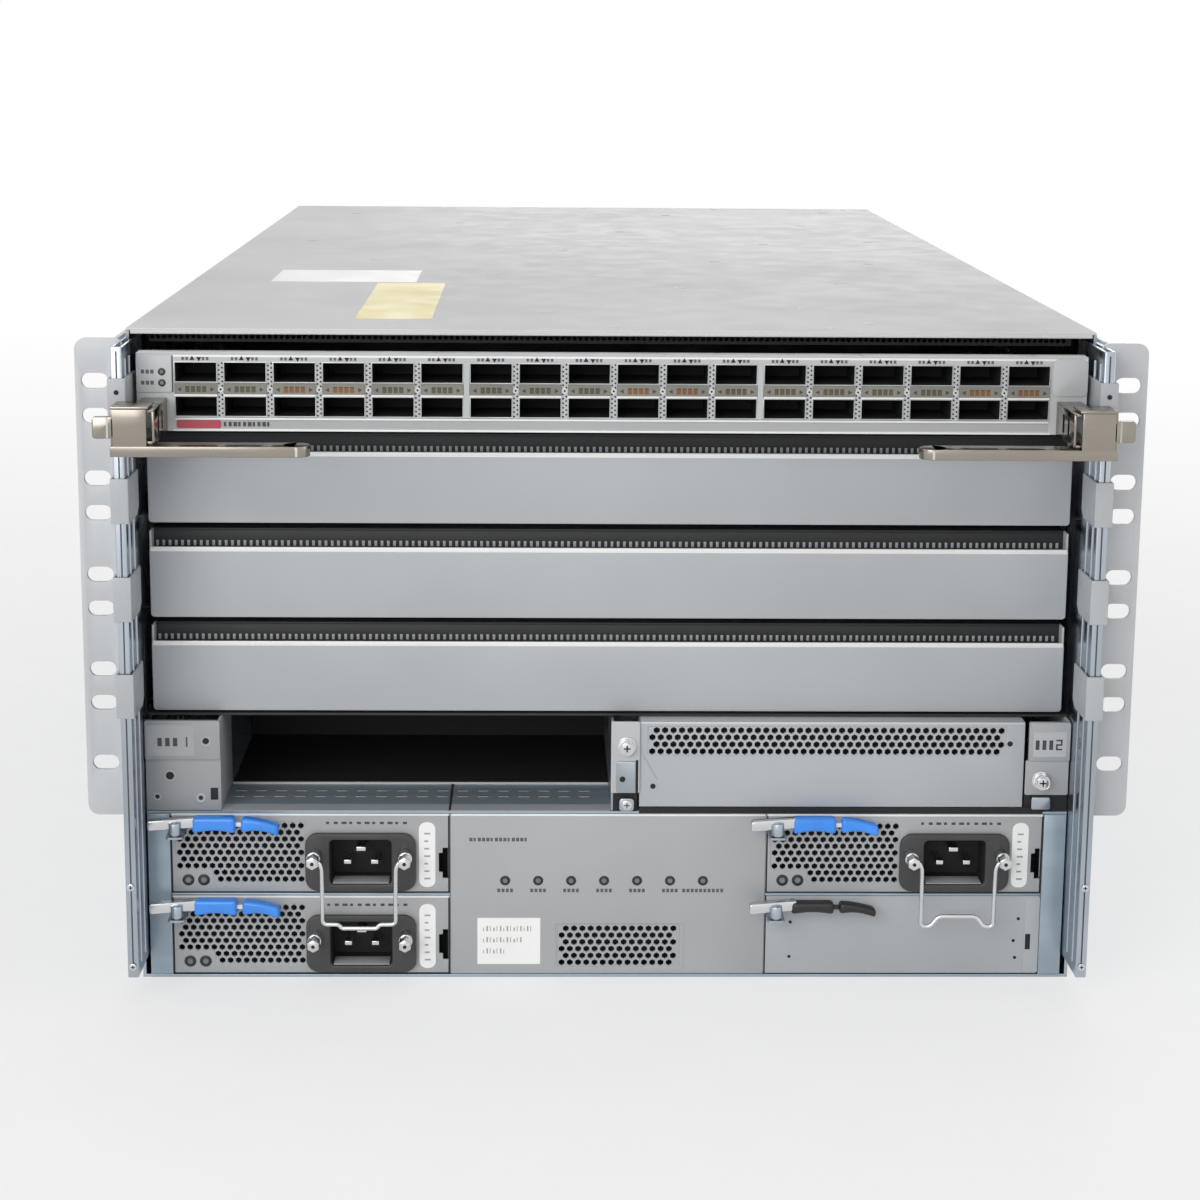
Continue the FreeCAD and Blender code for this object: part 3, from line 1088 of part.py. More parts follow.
def rear_panels():
    """The two rear side panels and the narrow cheek beside the controllers."""
    back, gauge = size("body_depth"), size("wall_gauge")
    z1 = size("cover_z") - size("fit_gap")
    inner, outer = 1.5 * size("tray_pitch") + size("fit_gap"), size("half_inside")
    sides = []
    for side in (-1, 1):
        x0, x1 = sorted((side * inner, side * outer))
        holes = []
        if side < 0:
            holes = [circle(-size("ground_x"), size("ground_z") + k * size("ground_pitch"),
                            size("ground_radius")) for k in (-1, 0, 1)]
        panel = pierced(x0, x1, size("fan_shelf_z") + size("shelf_gauge"), z1, back - gauge, gauge, holes)
        a, b = sorted((side * inner, side * (inner + gauge)))
        sides.append(panel.fuse(solid_box(a, b, back - size("panel_return"), back,
                                          size("fan_shelf_z") + size("shelf_gauge"), z1)).removeSplitter())
    low = size("wall_gauge")
    right_edge = size("controller_width") - size("controller_offset") + size("fit_gap")
    left_edge = -(size("controller_offset") + size("controller_width") + 2 * size("fit_gap"))
    sides.append(solid_box(right_edge, outer, back - gauge, back, low, size("fan_shelf_z")))
    sides.append(solid_box(-outer, left_edge, back - gauge, back, low, size("fan_shelf_z")))
    return Part.makeCompound(sides)


shape_node("rear_panels", rear_panels())
node("rear_shelf", block("rear_shelf_plate", ("-half_inside", "half_inside"),
                         ("body_depth - controller_depth - 10", "body_depth"),
                         ("fan_shelf_z", "fan_shelf_z + shelf_gauge")))

fabric = []
FABRIC_COUNT = 6
for k in range(FABRIC_COUNT):
    centre_x = f"({k} - ({FABRIC_COUNT} - 1) / 2) * tray_pitch / 2"
    fabric.append(block(f"fabric_{k}", (f"{centre_x} - fabric_gauge / 2", f"{centre_x} + fabric_gauge / 2"),
                        ("tray_front - fabric_depth - fabric_gap", "tray_front - fabric_gap"),
                        ("fan_shelf_z + shelf_gauge", "cover_z")))
node("fabric_modules", group("fabric_set", fabric))

# ---------------------------------------------------------------- checks and export

doc.recompute()
problems = [f"{item.Name}: {item.State}" for item in doc.Objects
            if any(flag in item.State for flag in ("Invalid", "Error"))]
problems += [f"{item.Label}: bad shape" for item in NODES if item.Shape.isNull() or not item.Shape.isValid()]
if problems:
    raise RuntimeError("; ".join(problems))
os.makedirs("parts", exist_ok=True)
for item in NODES:
    item.Shape.exportStep(f"parts/{item.Label}.step")
print(f"wrote {len(NODES)} pieces")
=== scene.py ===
"""Dressing for a seven-unit modular chassis switch: finishes, fine grilles and small fittings."""

import math

import bpy
from mathutils import Matrix, Vector


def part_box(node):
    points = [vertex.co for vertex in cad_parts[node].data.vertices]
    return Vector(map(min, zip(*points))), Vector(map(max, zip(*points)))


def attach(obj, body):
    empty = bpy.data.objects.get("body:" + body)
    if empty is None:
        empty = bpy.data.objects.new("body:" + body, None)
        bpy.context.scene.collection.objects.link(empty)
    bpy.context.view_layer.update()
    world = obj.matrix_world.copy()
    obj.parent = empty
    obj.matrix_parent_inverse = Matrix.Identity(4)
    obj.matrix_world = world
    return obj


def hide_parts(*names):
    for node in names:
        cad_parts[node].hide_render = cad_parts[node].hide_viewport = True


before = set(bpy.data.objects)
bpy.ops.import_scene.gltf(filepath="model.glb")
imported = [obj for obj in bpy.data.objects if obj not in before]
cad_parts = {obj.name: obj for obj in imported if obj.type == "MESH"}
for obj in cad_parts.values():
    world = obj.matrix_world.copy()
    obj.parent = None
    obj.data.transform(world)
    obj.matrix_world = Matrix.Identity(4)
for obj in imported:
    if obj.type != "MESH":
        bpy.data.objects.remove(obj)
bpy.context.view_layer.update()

bl_info = {
    "name": "Modular chassis switch",
    "version": (1, 0, 0),
    "blender": (4, 5, 0),
    "location": "View3D > Sidebar > Chassis",
    "description": "Builds the finishes and fine parts of a rack chassis switch",
    "category": "Object",
}

MM = 0.001
FRONT, REAR = -1, 1


def corners(node):
    """The low and high corner of a CAD node, as vectors."""
    low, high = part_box(node)
    return Vector(low), Vector(high)


SHELL_LOW = corners("chassis_shell")[0]
WALL_FRONT = SHELL_LOW.y

# ---------------------------------------------------------------- settings a user would change


class ChassisFinish(bpy.types.PropertyGroup):
    """Colours of the painted, plated and moulded parts."""

    paint: bpy.props.FloatVectorProperty(
        name="Panel paint", description="Grey paint on the front and rear panels",
        subtype="COLOR", size=3, default=(0.39, 0.40, 0.41))
    cover: bpy.props.FloatVectorProperty(
        name="Cover paint", description="Very light grey paint on the top cover",
        subtype="COLOR", size=3, default=(0.64, 0.64, 0.64))
    blank: bpy.props.FloatVectorProperty(
        name="Blank paint", description="Cool grey paint on the slot blanks",
        subtype="COLOR", size=3, default=(0.43, 0.45, 0.47))
    zinc: bpy.props.FloatVectorProperty(
        name="Zinc", description="Cool plated steel of rails and flanges",
        subtype="COLOR", size=3, default=(0.42, 0.465, 0.515))
    nickel: bpy.props.FloatVectorProperty(
        name="Nickel", description="Warm plated levers of the line card",
        subtype="COLOR", size=3, default=(0.31, 0.28, 0.24))
    grip: bpy.props.FloatVectorProperty(
        name="Grip", description="Blue moulded grips of the latch levers",
        subtype="COLOR", size=3, default=(0.045, 0.28, 0.90))
    sticker: bpy.props.FloatVectorProperty(
        name="Cover label", description="Pale yellow field on the top cover",
        subtype="COLOR", size=3, default=(0.80, 0.70, 0.36))


class ChassisMesh(bpy.types.PropertyGroup):
    """Sizes of the perforated sheets."""

    tray_pitch: bpy.props.FloatProperty(
        name="Tray mesh pitch", description="Spacing of the fan tray's holes",
        unit="LENGTH", default=4.1 * MM)
    tray_hole: bpy.props.FloatProperty(
        name="Tray mesh hole", description="Width of the fan tray's holes",
        unit="LENGTH", default=3.1 * MM)
    supply_pitch: bpy.props.FloatProperty(
        name="Supply mesh pitch", description="Spacing of the power supply's holes",
        unit="LENGTH", default=3.8 * MM)
    supply_hole: bpy.props.FloatProperty(
        name="Supply mesh hole", description="Width of the power supply's holes",
        unit="LENGTH", default=2.7 * MM)


def finish_settings():
    return bpy.context.scene.chassis_finish


def mesh_settings():
    return bpy.context.scene.chassis_mesh


# ---------------------------------------------------------------- modelling helpers


def mode(kind):
    bpy.ops.object.mode_set(mode=kind)


def pick(action):
    """Select or deselect the whole mesh that is being edited."""
    bpy.ops.mesh.select_all(action=action)


def fresh():
    """Leave edit mode and deselect everything."""
    if bpy.context.object and bpy.context.object.mode != "OBJECT":
        mode("OBJECT")
    bpy.ops.object.select_all(action="DESELECT")


def only(obj):
    fresh()
    obj.select_set(True)
    bpy.context.view_layer.objects.active = obj


def settle(obj):
    """Put an object's place, turn and scale into its mesh."""
    only(obj)
    bpy.ops.object.transform_apply(location=True, rotation=True, scale=True)
    return obj


def modify(obj, kind, **settings):
    """Add one modifier and apply it."""
    only(obj)
    modifier = obj.modifiers.new(kind.title(), kind)
    for key, value in settings.items():
        setattr(modifier, key, value)
    bpy.ops.object.modifier_apply(modifier=modifier.name)
    return obj


def repeat(obj, count, step):
    """Array an object by a step in millimetres."""
    return modify(obj, "ARRAY", count=count, use_relative_offset=False, use_constant_offset=True,
                  constant_offset_displace=tuple(part * MM for part in step))


def soften(obj, width, segments=2, angle=30):
    return modify(obj, "BEVEL", width=width, segments=segments, limit_method="ANGLE",
                  angle_limit=math.radians(angle), use_clamp_overlap=True)


def block(name, low, high, bevel=0.0, segments=2):
    """A box between two corners, its edges rounded by bevel."""
    fresh()
    low, high = Vector(low), Vector(high)
    bpy.ops.mesh.primitive_cube_add(size=1, location=(low + high) / 2)
    obj = bpy.context.object
    obj.name = name
    obj.scale = high - low
    settle(obj)
    return soften(obj, bevel, segments) if bevel else obj


AXIS_TURN = {"x": (0, math.pi / 2, 0), "y": (math.pi / 2, 0, 0), "z": (0, 0, 0)}
AXIS_STEP = {"x": Vector((1, 0, 0)), "y": Vector((0, 1, 0)), "z": Vector((0, 0, 1))}


def rod(name, start, axis, length, radius, sides=24, bevel=0.0):
    """A cylinder from its start point along an axis; a negative length runs the other way."""
    fresh()
    middle = Vector(start) + AXIS_STEP[axis] * length / 2
    bpy.ops.mesh.primitive_cylinder_add(vertices=sides, radius=radius, depth=abs(length),
                                        location=middle, rotation=AXIS_TURN[axis])
    obj = bpy.context.object
    obj.name = name
    settle(obj)
    return soften(obj, bevel) if bevel else obj


def ring(name, centre, axis, radius, wire, sides=24):
    fresh()
    bpy.ops.mesh.primitive_torus_add(major_radius=radius, minor_radius=wire, major_segments=sides,
                                     minor_segments=8, location=centre, rotation=AXIS_TURN[axis])
    obj = bpy.context.object
    obj.name = name
    return settle(obj)


def join(name, pieces):
    """Make one object of several; each keeps its materials."""
    fresh()
    for piece in pieces:
        piece.select_set(True)
    bpy.context.view_layer.objects.active = pieces[0]
    if len(pieces) > 1:
        bpy.ops.object.join()
    obj = bpy.context.object
    obj.name = name
    return obj


def carve(obj, cutters):
    """Cut solids out of an object."""
    tool = join("cutter", cutters)
    modify(obj, "BOOLEAN", object=tool, operation="DIFFERENCE", solver="EXACT")
    bpy.data.objects.remove(tool, do_unlink=True)
    return obj


def copy_to(obj, offset, name):
    """A copy with its own mesh, moved by an offset."""
    only(obj)
    bpy.ops.object.duplicate(linked=False)
    made = bpy.context.object
    made.name = name
    made.location = Vector(offset)
    return settle(made)


def paint(obj, finish):
    """Give an object one finish, by its name."""
    obj.data.materials.clear()
    obj.data.materials.append(FINISHES[finish])
    return obj


def paint_all(finish, *pieces):
    """Give several objects the same finish."""
    return [paint(piece, finish) for piece in pieces]


def smooth(obj, angle=35):
    only(obj)
    bpy.ops.object.shade_smooth_by_angle(angle=math.radians(angle))
    return obj


def rounded(name, low, high, radius, axis="y", segments=4, bevel=0.0):
    """A plate whose corners, seen along an axis, are rounded."""
    obj = block(name, low, high)
    only(obj)
    mode("EDIT")
    bpy.ops.mesh.select_mode(type="EDGE")
    pick("DESELECT")
    mode("OBJECT")
    step = AXIS_STEP[axis]
    for edge in obj.data.edges:
        a, b = (obj.data.vertices[k].co for k in edge.vertices)
        edge.select = abs((b - a).normalized().dot(step)) > 0.99
    mode("EDIT")
    bpy.ops.mesh.bevel(offset=radius, segments=segments, affect="EDGES")
    pick("SELECT")
    bpy.ops.mesh.remove_doubles(threshold=1e-6)
    bpy.ops.mesh.normals_make_consistent(inside=False)
    mode("OBJECT")
    return soften(obj, bevel) if bevel else obj


def plate(name, x, z, y, gauge, windows=(), edge=0.0):
    """An upright sheet with rectangular windows: bisected at their sides, opened and thickened."""
    fresh()
    x0, x1, z0, z1 = *x, *z
    bpy.ops.mesh.primitive_plane_add(size=1, location=((x0 + x1) / 2, y, (z0 + z1) / 2),
                                     rotation=(math.pi / 2, 0, 0))
    obj = bpy.context.object
    obj.name = name
    obj.scale = (x1 - x0, z1 - z0, 1)
    settle(obj)
    mode("EDIT")
    cuts_x = sorted({round(v, 7) for w in windows for v in w[:2]})
    cuts_z = sorted({round(v, 7) for w in windows for v in w[2:]})
    for places, normal in ((cuts_x, (1, 0, 0)), (cuts_z, (0, 0, 1))):
        for place in places:
            pick("SELECT")
            bpy.ops.mesh.bisect(plane_co=Vector(normal) * place, plane_no=normal)
    pick("DESELECT")
    mode("OBJECT")
    for face in obj.data.polygons:
        c = face.center
        face.select = any(w[0] < c.x < w[1] and w[2] < c.z < w[3] for w in windows)
    mode("EDIT")
    bpy.ops.mesh.select_mode(type="FACE")
    if windows:
        bpy.ops.mesh.delete(type="FACE")
    pick("SELECT")
    bpy.ops.mesh.dissolve_limited(angle_limit=math.radians(1))
    bpy.ops.mesh.normals_make_consistent(inside=False)
    mode("OBJECT")
    modify(obj, "SOLIDIFY", thickness=gauge, offset=0.0)
    shift = gauge / 2
    obj.location.y = shift
    settle(obj)
    return soften(obj, edge, 2) if edge else obj


def lattice(name, x, z, y, gauge, pitch, hole, level=False, anchor=None):
    """A perforated sheet: one hexagonal cell inset for its hole, arrayed, trimmed, opened and thickened.

    Neighbouring holes stand one above the other, or side by side when level; cut holes stay closed.
    One hole's middle lies at the anchor.
    """
    anchor = anchor or (x[0], z[0])
    if level:
        x, z, anchor = z, x, anchor[::-1]
    fresh()
    column = pitch * math.sqrt(3) / 2
    x0, x1, z0, z1 = *x, *z
    first_x = anchor[0] + math.floor((x0 - anchor[0]) / (2 * column)) * 2 * column
    first_z = anchor[1] + math.floor((z0 - anchor[1]) / pitch - 0.5) * pitch
    count_x = int((x1 - first_x) / (2 * column)) + 2
    count_z = int((z1 - first_z) / pitch) + 2
    bpy.ops.mesh.primitive_circle_add(vertices=6, radius=pitch / math.sqrt(3), fill_type="NGON",
                                      location=(first_x, y, first_z), rotation=(math.pi / 2, math.pi / 6, 0))
    cell = bpy.context.object
    settle(cell)
    mode("EDIT")
    pick("SELECT")
    bpy.ops.mesh.inset(thickness=(pitch - hole) / 2)
    mode("OBJECT")
    open_area = min(face.area for face in cell.data.polygons if len(face.vertices) == 6) * 0.99
    other = copy_to(cell, (column, 0, pitch / 2), "odd_column")
    sheet = join(name, [cell, other])
    for count, step in ((count_z, (0, 0, pitch)), (count_x, (2 * column, 0, 0))):
        modify(sheet, "ARRAY", count=count, use_relative_offset=False, use_constant_offset=True,
               constant_offset_displace=step, use_merge_vertices=True, merge_threshold=1e-5)
    mode("EDIT")
    pick("SELECT")
    bpy.ops.mesh.remove_doubles(threshold=1e-5)
    for place, normal in ((x0, (-1, 0, 0)), (x1, (1, 0, 0)), (z0, (0, 0, -1)), (z1, (0, 0, 1))):
        pick("SELECT")
        point = Vector((abs(normal[0]), 0, abs(normal[2]))) * place
        bpy.ops.mesh.bisect(plane_co=point, plane_no=normal, clear_outer=True)
    pick("DESELECT")
    mode("OBJECT")
    for face in sheet.data.polygons:
        face.select = len(face.vertices) == 6 and face.area > open_area
    mode("EDIT")
    bpy.ops.mesh.select_mode(type="FACE")
    bpy.ops.mesh.delete(type="FACE")
    mode("OBJECT")
    if level:
        sheet.data.transform(Matrix(((0, 0, 1, 0), (0, 1, 0, 0), (1, 0, 0, 0), (0, 0, 0, 1))))
        sheet.data.flip_normals()
    modify(sheet, "SOLIDIFY", thickness=gauge, offset=0.0)
    sheet.location.y = gauge / 2
    return settle(sheet)


def wire(name, points, radius, sides=10):
    """A bent round wire through points, with small bends, as a mesh."""
    curve = bpy.data.curves.new(name, "CURVE")
    curve.dimensions = "3D"
    curve.bevel_depth = radius
    curve.bevel_resolution = max(2, sides // 4)
    curve.use_fill_caps = True
    spline = curve.splines.new("POLY")
    bent = bend_corners([Vector(p) for p in points], 2.2 * radius)
    spline.points.add(len(bent) - 1)
    for slot_, point in zip(spline.points, bent):
        slot_.co = (*point, 1)
    obj = bpy.data.objects.new(name, curve)
    bpy.context.scene.collection.objects.link(obj)
    only(obj)
    bpy.ops.object.convert(target="MESH")
    return settle(bpy.context.object)


def bend_corners(points, radius, steps=4):
    """Round a path's corners by short curves."""
    path = [points[0]]
    for before, corner, after in zip(points, points[1:], points[2:]):
        reach = min(radius, (corner - before).length * 0.45, (after - corner).length * 0.45)
        start = corner + (before - corner).normalized() * reach
        end = corner + (after - corner).normalized() * reach
        for k in range(steps + 1):
            u = k / steps
            path.append(start * (1 - u) ** 2 + corner * 2 * u * (1 - u) + end * u ** 2)
    return path + [points[-1]]


def done(obj, body, slot, *nodes):
    """Attach a finished piece to its body and hide the nodes it stands for; the slot argument is not used."""
    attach(obj, body)
    if nodes:
        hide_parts(*nodes)
    return obj


# ---------------------------------------------------------------- materials

FINISHES = {}


def shader_of(name, colour, roughness, metallic=0.0, coat=0.0):
    """A material with its plain values on the shader's own sockets."""
    material = bpy.data.materials.new(name)
    material.use_nodes = True
    nodes = material.node_tree.nodes
    shader = nodes["Principled BSDF"]
    shader.inputs["Base Color"].default_value = (*colour, 1)
    shader.inputs["Roughness"].default_value = roughness
    shader.inputs["Metallic"].default_value = metallic
    shader.inputs["Coat Weight"].default_value = coat
    return material, nodes, material.node_tree.links, shader


def noise(nodes, links, scale, detail=3.0, stretch=None):
    """A noise texture on the object's own coordinates, optionally drawn out along an axis."""
    texture = nodes.new("ShaderNodeTexNoise")
    texture.inputs["Scale"].default_value = scale
    texture.inputs["Detail"].default_value = detail
    place = nodes.new("ShaderNodeTexCoord")
    if stretch:
        mapping = nodes.new("ShaderNodeMapping")
        mapping.inputs["Scale"].default_value = stretch
        links.new(place.outputs["Object"], mapping.inputs["Vector"])
        links.new(mapping.outputs["Vector"], texture.inputs["Vector"])
    else:
        links.new(place.outputs["Object"], texture.inputs["Vector"])
    return texture


def spread(nodes, links, source, low, high, target, span=(0.35, 0.65)):
    """Map a noise factor to a range of values or colours on a shader socket."""
    ramp = nodes.new("ShaderNodeValToRGB")
    ramp.color_ramp.elements[0].position = span[0]
    ramp.color_ramp.elements[1].position = span[1]
    pair = []
    for value in (low, high):
        pair.append((*value, 1) if isinstance(value, (tuple, list, Vector)) else (value, value, value, 1))
    ramp.color_ramp.elements[0].color = pair[0]
    ramp.color_ramp.elements[1].color = pair[1]
    links.new(source.outputs["Fac"], ramp.inputs["Fac"])
    links.new(ramp.outputs["Color"], target)


def bump(nodes, links, source, shader, strength, distance):
    node = nodes.new("ShaderNodeBump")
    node.inputs["Strength"].default_value = strength
    node.inputs["Distance"].default_value = distance
    links.new(source.outputs["Fac"], node.inputs["Height"])
    links.new(node.outputs["Normal"], shader.inputs["Normal"])


def shade(colour, factor):
    return tuple(min(1.0, channel * factor) for channel in colour)


def powder_paint(name, colour, roughness=0.42):
    """Powder-coated sheet: faint mottling and a fine orange-peel bump."""
    material, nodes, links, shader = shader_of(name, colour, roughness)
    broad = noise(nodes, links, 9.0, 2.0)
    spread(nodes, links, broad, shade(colour, 0.955), shade(colour, 1.045), shader.inputs["Base Color"])
    worn = noise(nodes, links, 60.0, 4.0)
    spread(nodes, links, worn, roughness - 0.06, roughness + 0.08, shader.inputs["Roughness"])
    bump(nodes, links, noise(nodes, links, 1500.0, 2.0), shader, 0.12, 0.00006)
    return material


def plated(name, colour, roughness, stretch, depth=0.10):
    """Plated steel: cloudy tone, drawn-out grain and uneven gloss."""
    material, nodes, links, shader = shader_of(name, colour, roughness, metallic=1.0)
    cloud = noise(nodes, links, 14.0, 3.0)
    spread(nodes, links, cloud, shade(colour, 1 - depth), shade(colour, 1 + depth),
           shader.inputs["Base Color"])
    grain = noise(nodes, links, 90.0, 3.0, stretch)
    spread(nodes, links, grain, roughness - 0.08, roughness + 0.12, shader.inputs["Roughness"])
    bump(nodes, links, grain, shader, 0.08, 0.00005)
    return material


def moulded(name, colour, roughness, coat=0.0):
    """Moulded plastic with a fine spark-eroded texture."""
    material, nodes, links, shader = shader_of(name, colour, roughness, coat=coat)
    broad = noise(nodes, links, 40.0, 2.0)
    spread(nodes, links, broad, shade(colour, 0.9), shade(colour, 1.1), shader.inputs["Base Color"])
    bump(nodes, links, noise(nodes, links, 2500.0, 1.0), shader, 0.18, 0.00005)
    return material


def brushed_paint(name, colour):
    """Passivated sheet: half metal, half matt film, with a lengthwise grain."""
    material, nodes, links, shader = shader_of(name, colour, 0.42, metallic=0.45)
    grain = noise(nodes, links, 60.0, 3.0, (0.1, 1.0, 1.0))
    spread(nodes, links, grain, shade(colour, 0.9), shade(colour, 1.1), shader.inputs["Base Color"])
    bump(nodes, links, grain, shader, 0.08, 0.00005)
    return material


def board_laminate(name):
    """Green solder mask with lighter copper runs under it."""
    material, nodes, links, shader = shader_of(name, (0.01, 0.07, 0.03), 0.3, coat=0.4)
    runs = noise(nodes, links, 120.0, 1.0, (1.0, 8.0, 1.0))
    spread(nodes, links, runs, (0.006, 0.045, 0.02), (0.03, 0.13, 0.06), shader.inputs["Base Color"],
           (0.48, 0.52))
    return material


def glowing_lens(name, colour):
    material, nodes, links, shader = shader_of(name, colour, 0.18, coat=0.6)
    tint = noise(nodes, links, 300.0, 1.0)
    spread(nodes, links, tint, shade(colour, 0.85), shade(colour, 1.15), shader.inputs["Base Color"])
    return material


def make_finishes():
    values = finish_settings()
    grey, blank, zinc = tuple(values.paint), tuple(values.blank), tuple(values.zinc)
    FINISHES.update({
        "paint": powder_paint("panel_grey_paint", grey),
        # panel paint lightened by 1.25 for tiles and plates; also the painted highlight rings round holes
        "light_paint": powder_paint("light_paint_and_highlight", shade(grey, 1.25)),
        "ear_paint": powder_paint("ear_paint", shade(grey, 1.35)),
        # panel paint darkened to 0.84: painted shade on the left cheek, the supervisor blank's crease and the
        # grille's edge lines
        "shaded_panel_paint": powder_paint("shaded_panel_paint", shade(grey, 0.84)),
        "bay_zinc": brushed_paint("bay_zinc", (0.34, 0.42, 0.48)),
        # near black: painted shade on the recessed air gap screen and on the blanks' ledges
        "screen": moulded("shade_black_screen", (0.030, 0.031, 0.033), 0.6),
        # near black: painted shade inside the card cage and on the slot blanks' strips and roofs
        "recess": moulded("shade_black_lining", (0.018, 0.019, 0.020), 0.6),
        # cool blank paint; also the painted reflection band at the front of the supervisor bay floor
        "blank": powder_paint("slot_blank_paint_and_reflection", blank, 0.36),
        # light cover paint; also painted highlights on the supervisor blank's brow and the bay floor's slot edges
        "cover": powder_paint("cover_paint", tuple(values.cover), 0.72),
        "rear_paint": powder_paint("rear_grey_paint", shade(grey, 1.2)),
        "zinc": plated("zinc_plate", zinc, 0.27, (1.0, 1.0, 0.06)),
        "zinc_flat": plated("zinc_sheet", shade(zinc, 0.9), 0.34, (0.06, 1.0, 1.0)),
        # zinc darkened to 0.55: painted shade for sheet inside the chassis
        "inside": plated("shaded_inner_zinc", shade(zinc, 0.55), 0.5, (1.0, 0.08, 1.0)),
        "nickel": plated("warm_nickel", tuple(values.nickel), 0.2, (0.05, 1.0, 1.0), 0.07),
        "steel": plated("bright_steel", (0.64, 0.65, 0.66), 0.22, (1.0, 0.1, 1.0), 0.05),
        "cage": plated("cage_steel", (0.42, 0.43, 0.43), 0.38, (1.0, 0.1, 1.0), 0.12),
        "grip": moulded("blue_grip", tuple(values.grip), 0.34, 0.25),
        "black": moulded("black_moulding", (0.012, 0.012, 0.013), 0.42),
        "bezel": moulded("bezel_moulding", (0.042, 0.042, 0.043), 0.45),
        "rotor": moulded("rotor_moulding", (0.02, 0.02, 0.022), 0.5),
        # near black: painted shade in holes, slots, gaps, hollows, ports and sockets, and also some printed marks
        "dark": moulded("shade_and_print_black", (0.006, 0.006, 0.007), 0.75),
        # white: the tray handles' own colour, and painted highlights on the brows of blanks, card, supplies and
        # indicator panel
        "white": powder_paint("white_coat_and_highlight", (0.82, 0.82, 0.81), 0.32),
        "label": powder_paint("white_label", (0.90, 0.90, 0.89), 0.55),
        "yellow": powder_paint("yellow_label", tuple(values.sticker), 0.55),
        "red": powder_paint("red_mark", (0.42, 0.06, 0.09), 0.45),
        "strip": moulded("light_bar_beige", (0.20, 0.195, 0.165), 0.5),
        "window": moulded("light_window", (0.075, 0.07, 0.035), 0.3),
        "window_warm": moulded("amber_window", (0.20, 0.075, 0.015), 0.3),
        "ink": moulded("grey_ink", (0.05, 0.05, 0.055), 0.6),
        # soft grey print; also the painted shade in the bay floor's slot dashes
        "ink_soft": moulded("soft_grey_ink_and_shade", (0.10, 0.10, 0.105), 0.6),
        "label_ink": moulded("label_ink", (0.34, 0.34, 0.34), 0.6),
        "bezel_sill": moulded("grey_sill", (0.42, 0.42, 0.42), 0.4),
        "board": board_laminate("board_green"),
        "lens": glowing_lens("dark_lens", (0.03, 0.03, 0.035)),
        "pale_lens": glowing_lens("pale_lens", (0.16, 0.16, 0.155)),
        "floor": floor_material(),
    })


def floor_material():
    """White paper floor: it keeps the object's shadow near it and fades to plain white far away."""
    material, nodes, links, shader = shader_of("studio_floor", (0.86, 0.86, 0.86), 0.9)
    grain = noise(nodes, links, 25.0, 2.0)
    spread(nodes, links, grain, (0.85, 0.85, 0.85), (0.87, 0.87, 0.87), shader.inputs["Base Color"])
    place = nodes.new("ShaderNodeTexCoord")
    mapping = nodes.new("ShaderNodeMapping")
    mapping.inputs["Scale"].default_value = (0.45, 0.45, 0.45)
    distance = nodes.new("ShaderNodeTexGradient")
    distance.gradient_type = "SPHERICAL"
    links.new(place.outputs["Object"], mapping.inputs["Vector"])
    links.new(mapping.outputs["Vector"], distance.inputs["Vector"])
    share = nodes.new("ShaderNodeMapRange")
    share.inputs["From Min"].default_value = 0.0
    share.inputs["From Max"].default_value = 0.8
    share.inputs["To Min"].default_value = 1.0
    share.inputs["To Max"].default_value = 0.55
    links.new(distance.outputs["Fac"], share.inputs["Value"])
    glow = nodes.new("ShaderNodeEmission")
    glow.inputs["Strength"].default_value = 1.0
    mix = nodes.new("ShaderNodeMixShader")
    part = nodes.new("ShaderNodeMath")
    part.operation = "MULTIPLY"
    links.new(seen_rays(nodes, links), part.inputs[0])
    links.new(share.outputs["Result"], part.inputs[1])
    links.new(part.outputs["Value"], mix.inputs["Fac"])
    links.new(shader.outputs["BSDF"], mix.inputs[1])
    links.new(glow.outputs["Emission"], mix.inputs[2])
    links.new(mix.outputs["Shader"], nodes["Material Output"].inputs["Surface"])
    return material


def seen_rays(nodes, links):
    """One for camera, glossy and transmission rays, so that metal shows the same pale surroundings."""
    rays = nodes.new("ShaderNodeLightPath")
    total = rays.outputs["Is Camera Ray"]
    for kind in ("Is Glossy Ray", "Is Transmission Ray"):
        add = nodes.new("ShaderNodeMath")
        add.operation = "MAXIMUM"
        links.new(total, add.inputs[0])
        links.new(rays.outputs[kind], add.inputs[1])
        total = add.outputs["Value"]
    return total


# carried-over CAD nodes and the finish each one takes
NODE_FINISH = {
    "chassis_shell": "zinc", "side_rail_left": "zinc", "side_rail_right": "zinc",
    # card_cage and rear_shelf take the near-black lining and the darkened zinc: painted shade inside the chassis
    "card_cage": "recess", "supervisor_shelf": "bay_zinc", "power_bay": "bay_zinc", "rear_shelf": "inside",
    "top_cover": "cover", "slot_catches": "paint", "rack_ear_left": "ear_paint", "rack_ear_right": "ear_paint",
    "slot_blank_2": "blank", "slot_blank_3": "blank", "slot_blank_4": "blank",
    "line_card_tray": "paint", "line_card_board": "board", "port_cages": "cage",
    "card_end_tiles": "light_paint", "port_light_bars": "strip",
    "ejector_lever_left": "nickel", "ejector_lever_right": "nickel",
    "supervisor_bracket_left": "paint", "supervisor_bracket_centre": "paint",
    "supervisor_bracket_right": "paint", "supervisor_blank": "paint", "indicator_panel": "paint",
    "panel_lights": "lens", "power_blank": "paint", "power_blank_lever": "black",
    "rear_panels": "rear_paint", "fabric_modules": "board",
    "system_controller_1": "rear_paint", "system_controller_2": "rear_paint",
    "controller_lever_1": "black", "controller_lever_2": "black",
    "wire_bail_1": "steel", "wire_bail_3": "steel",
}
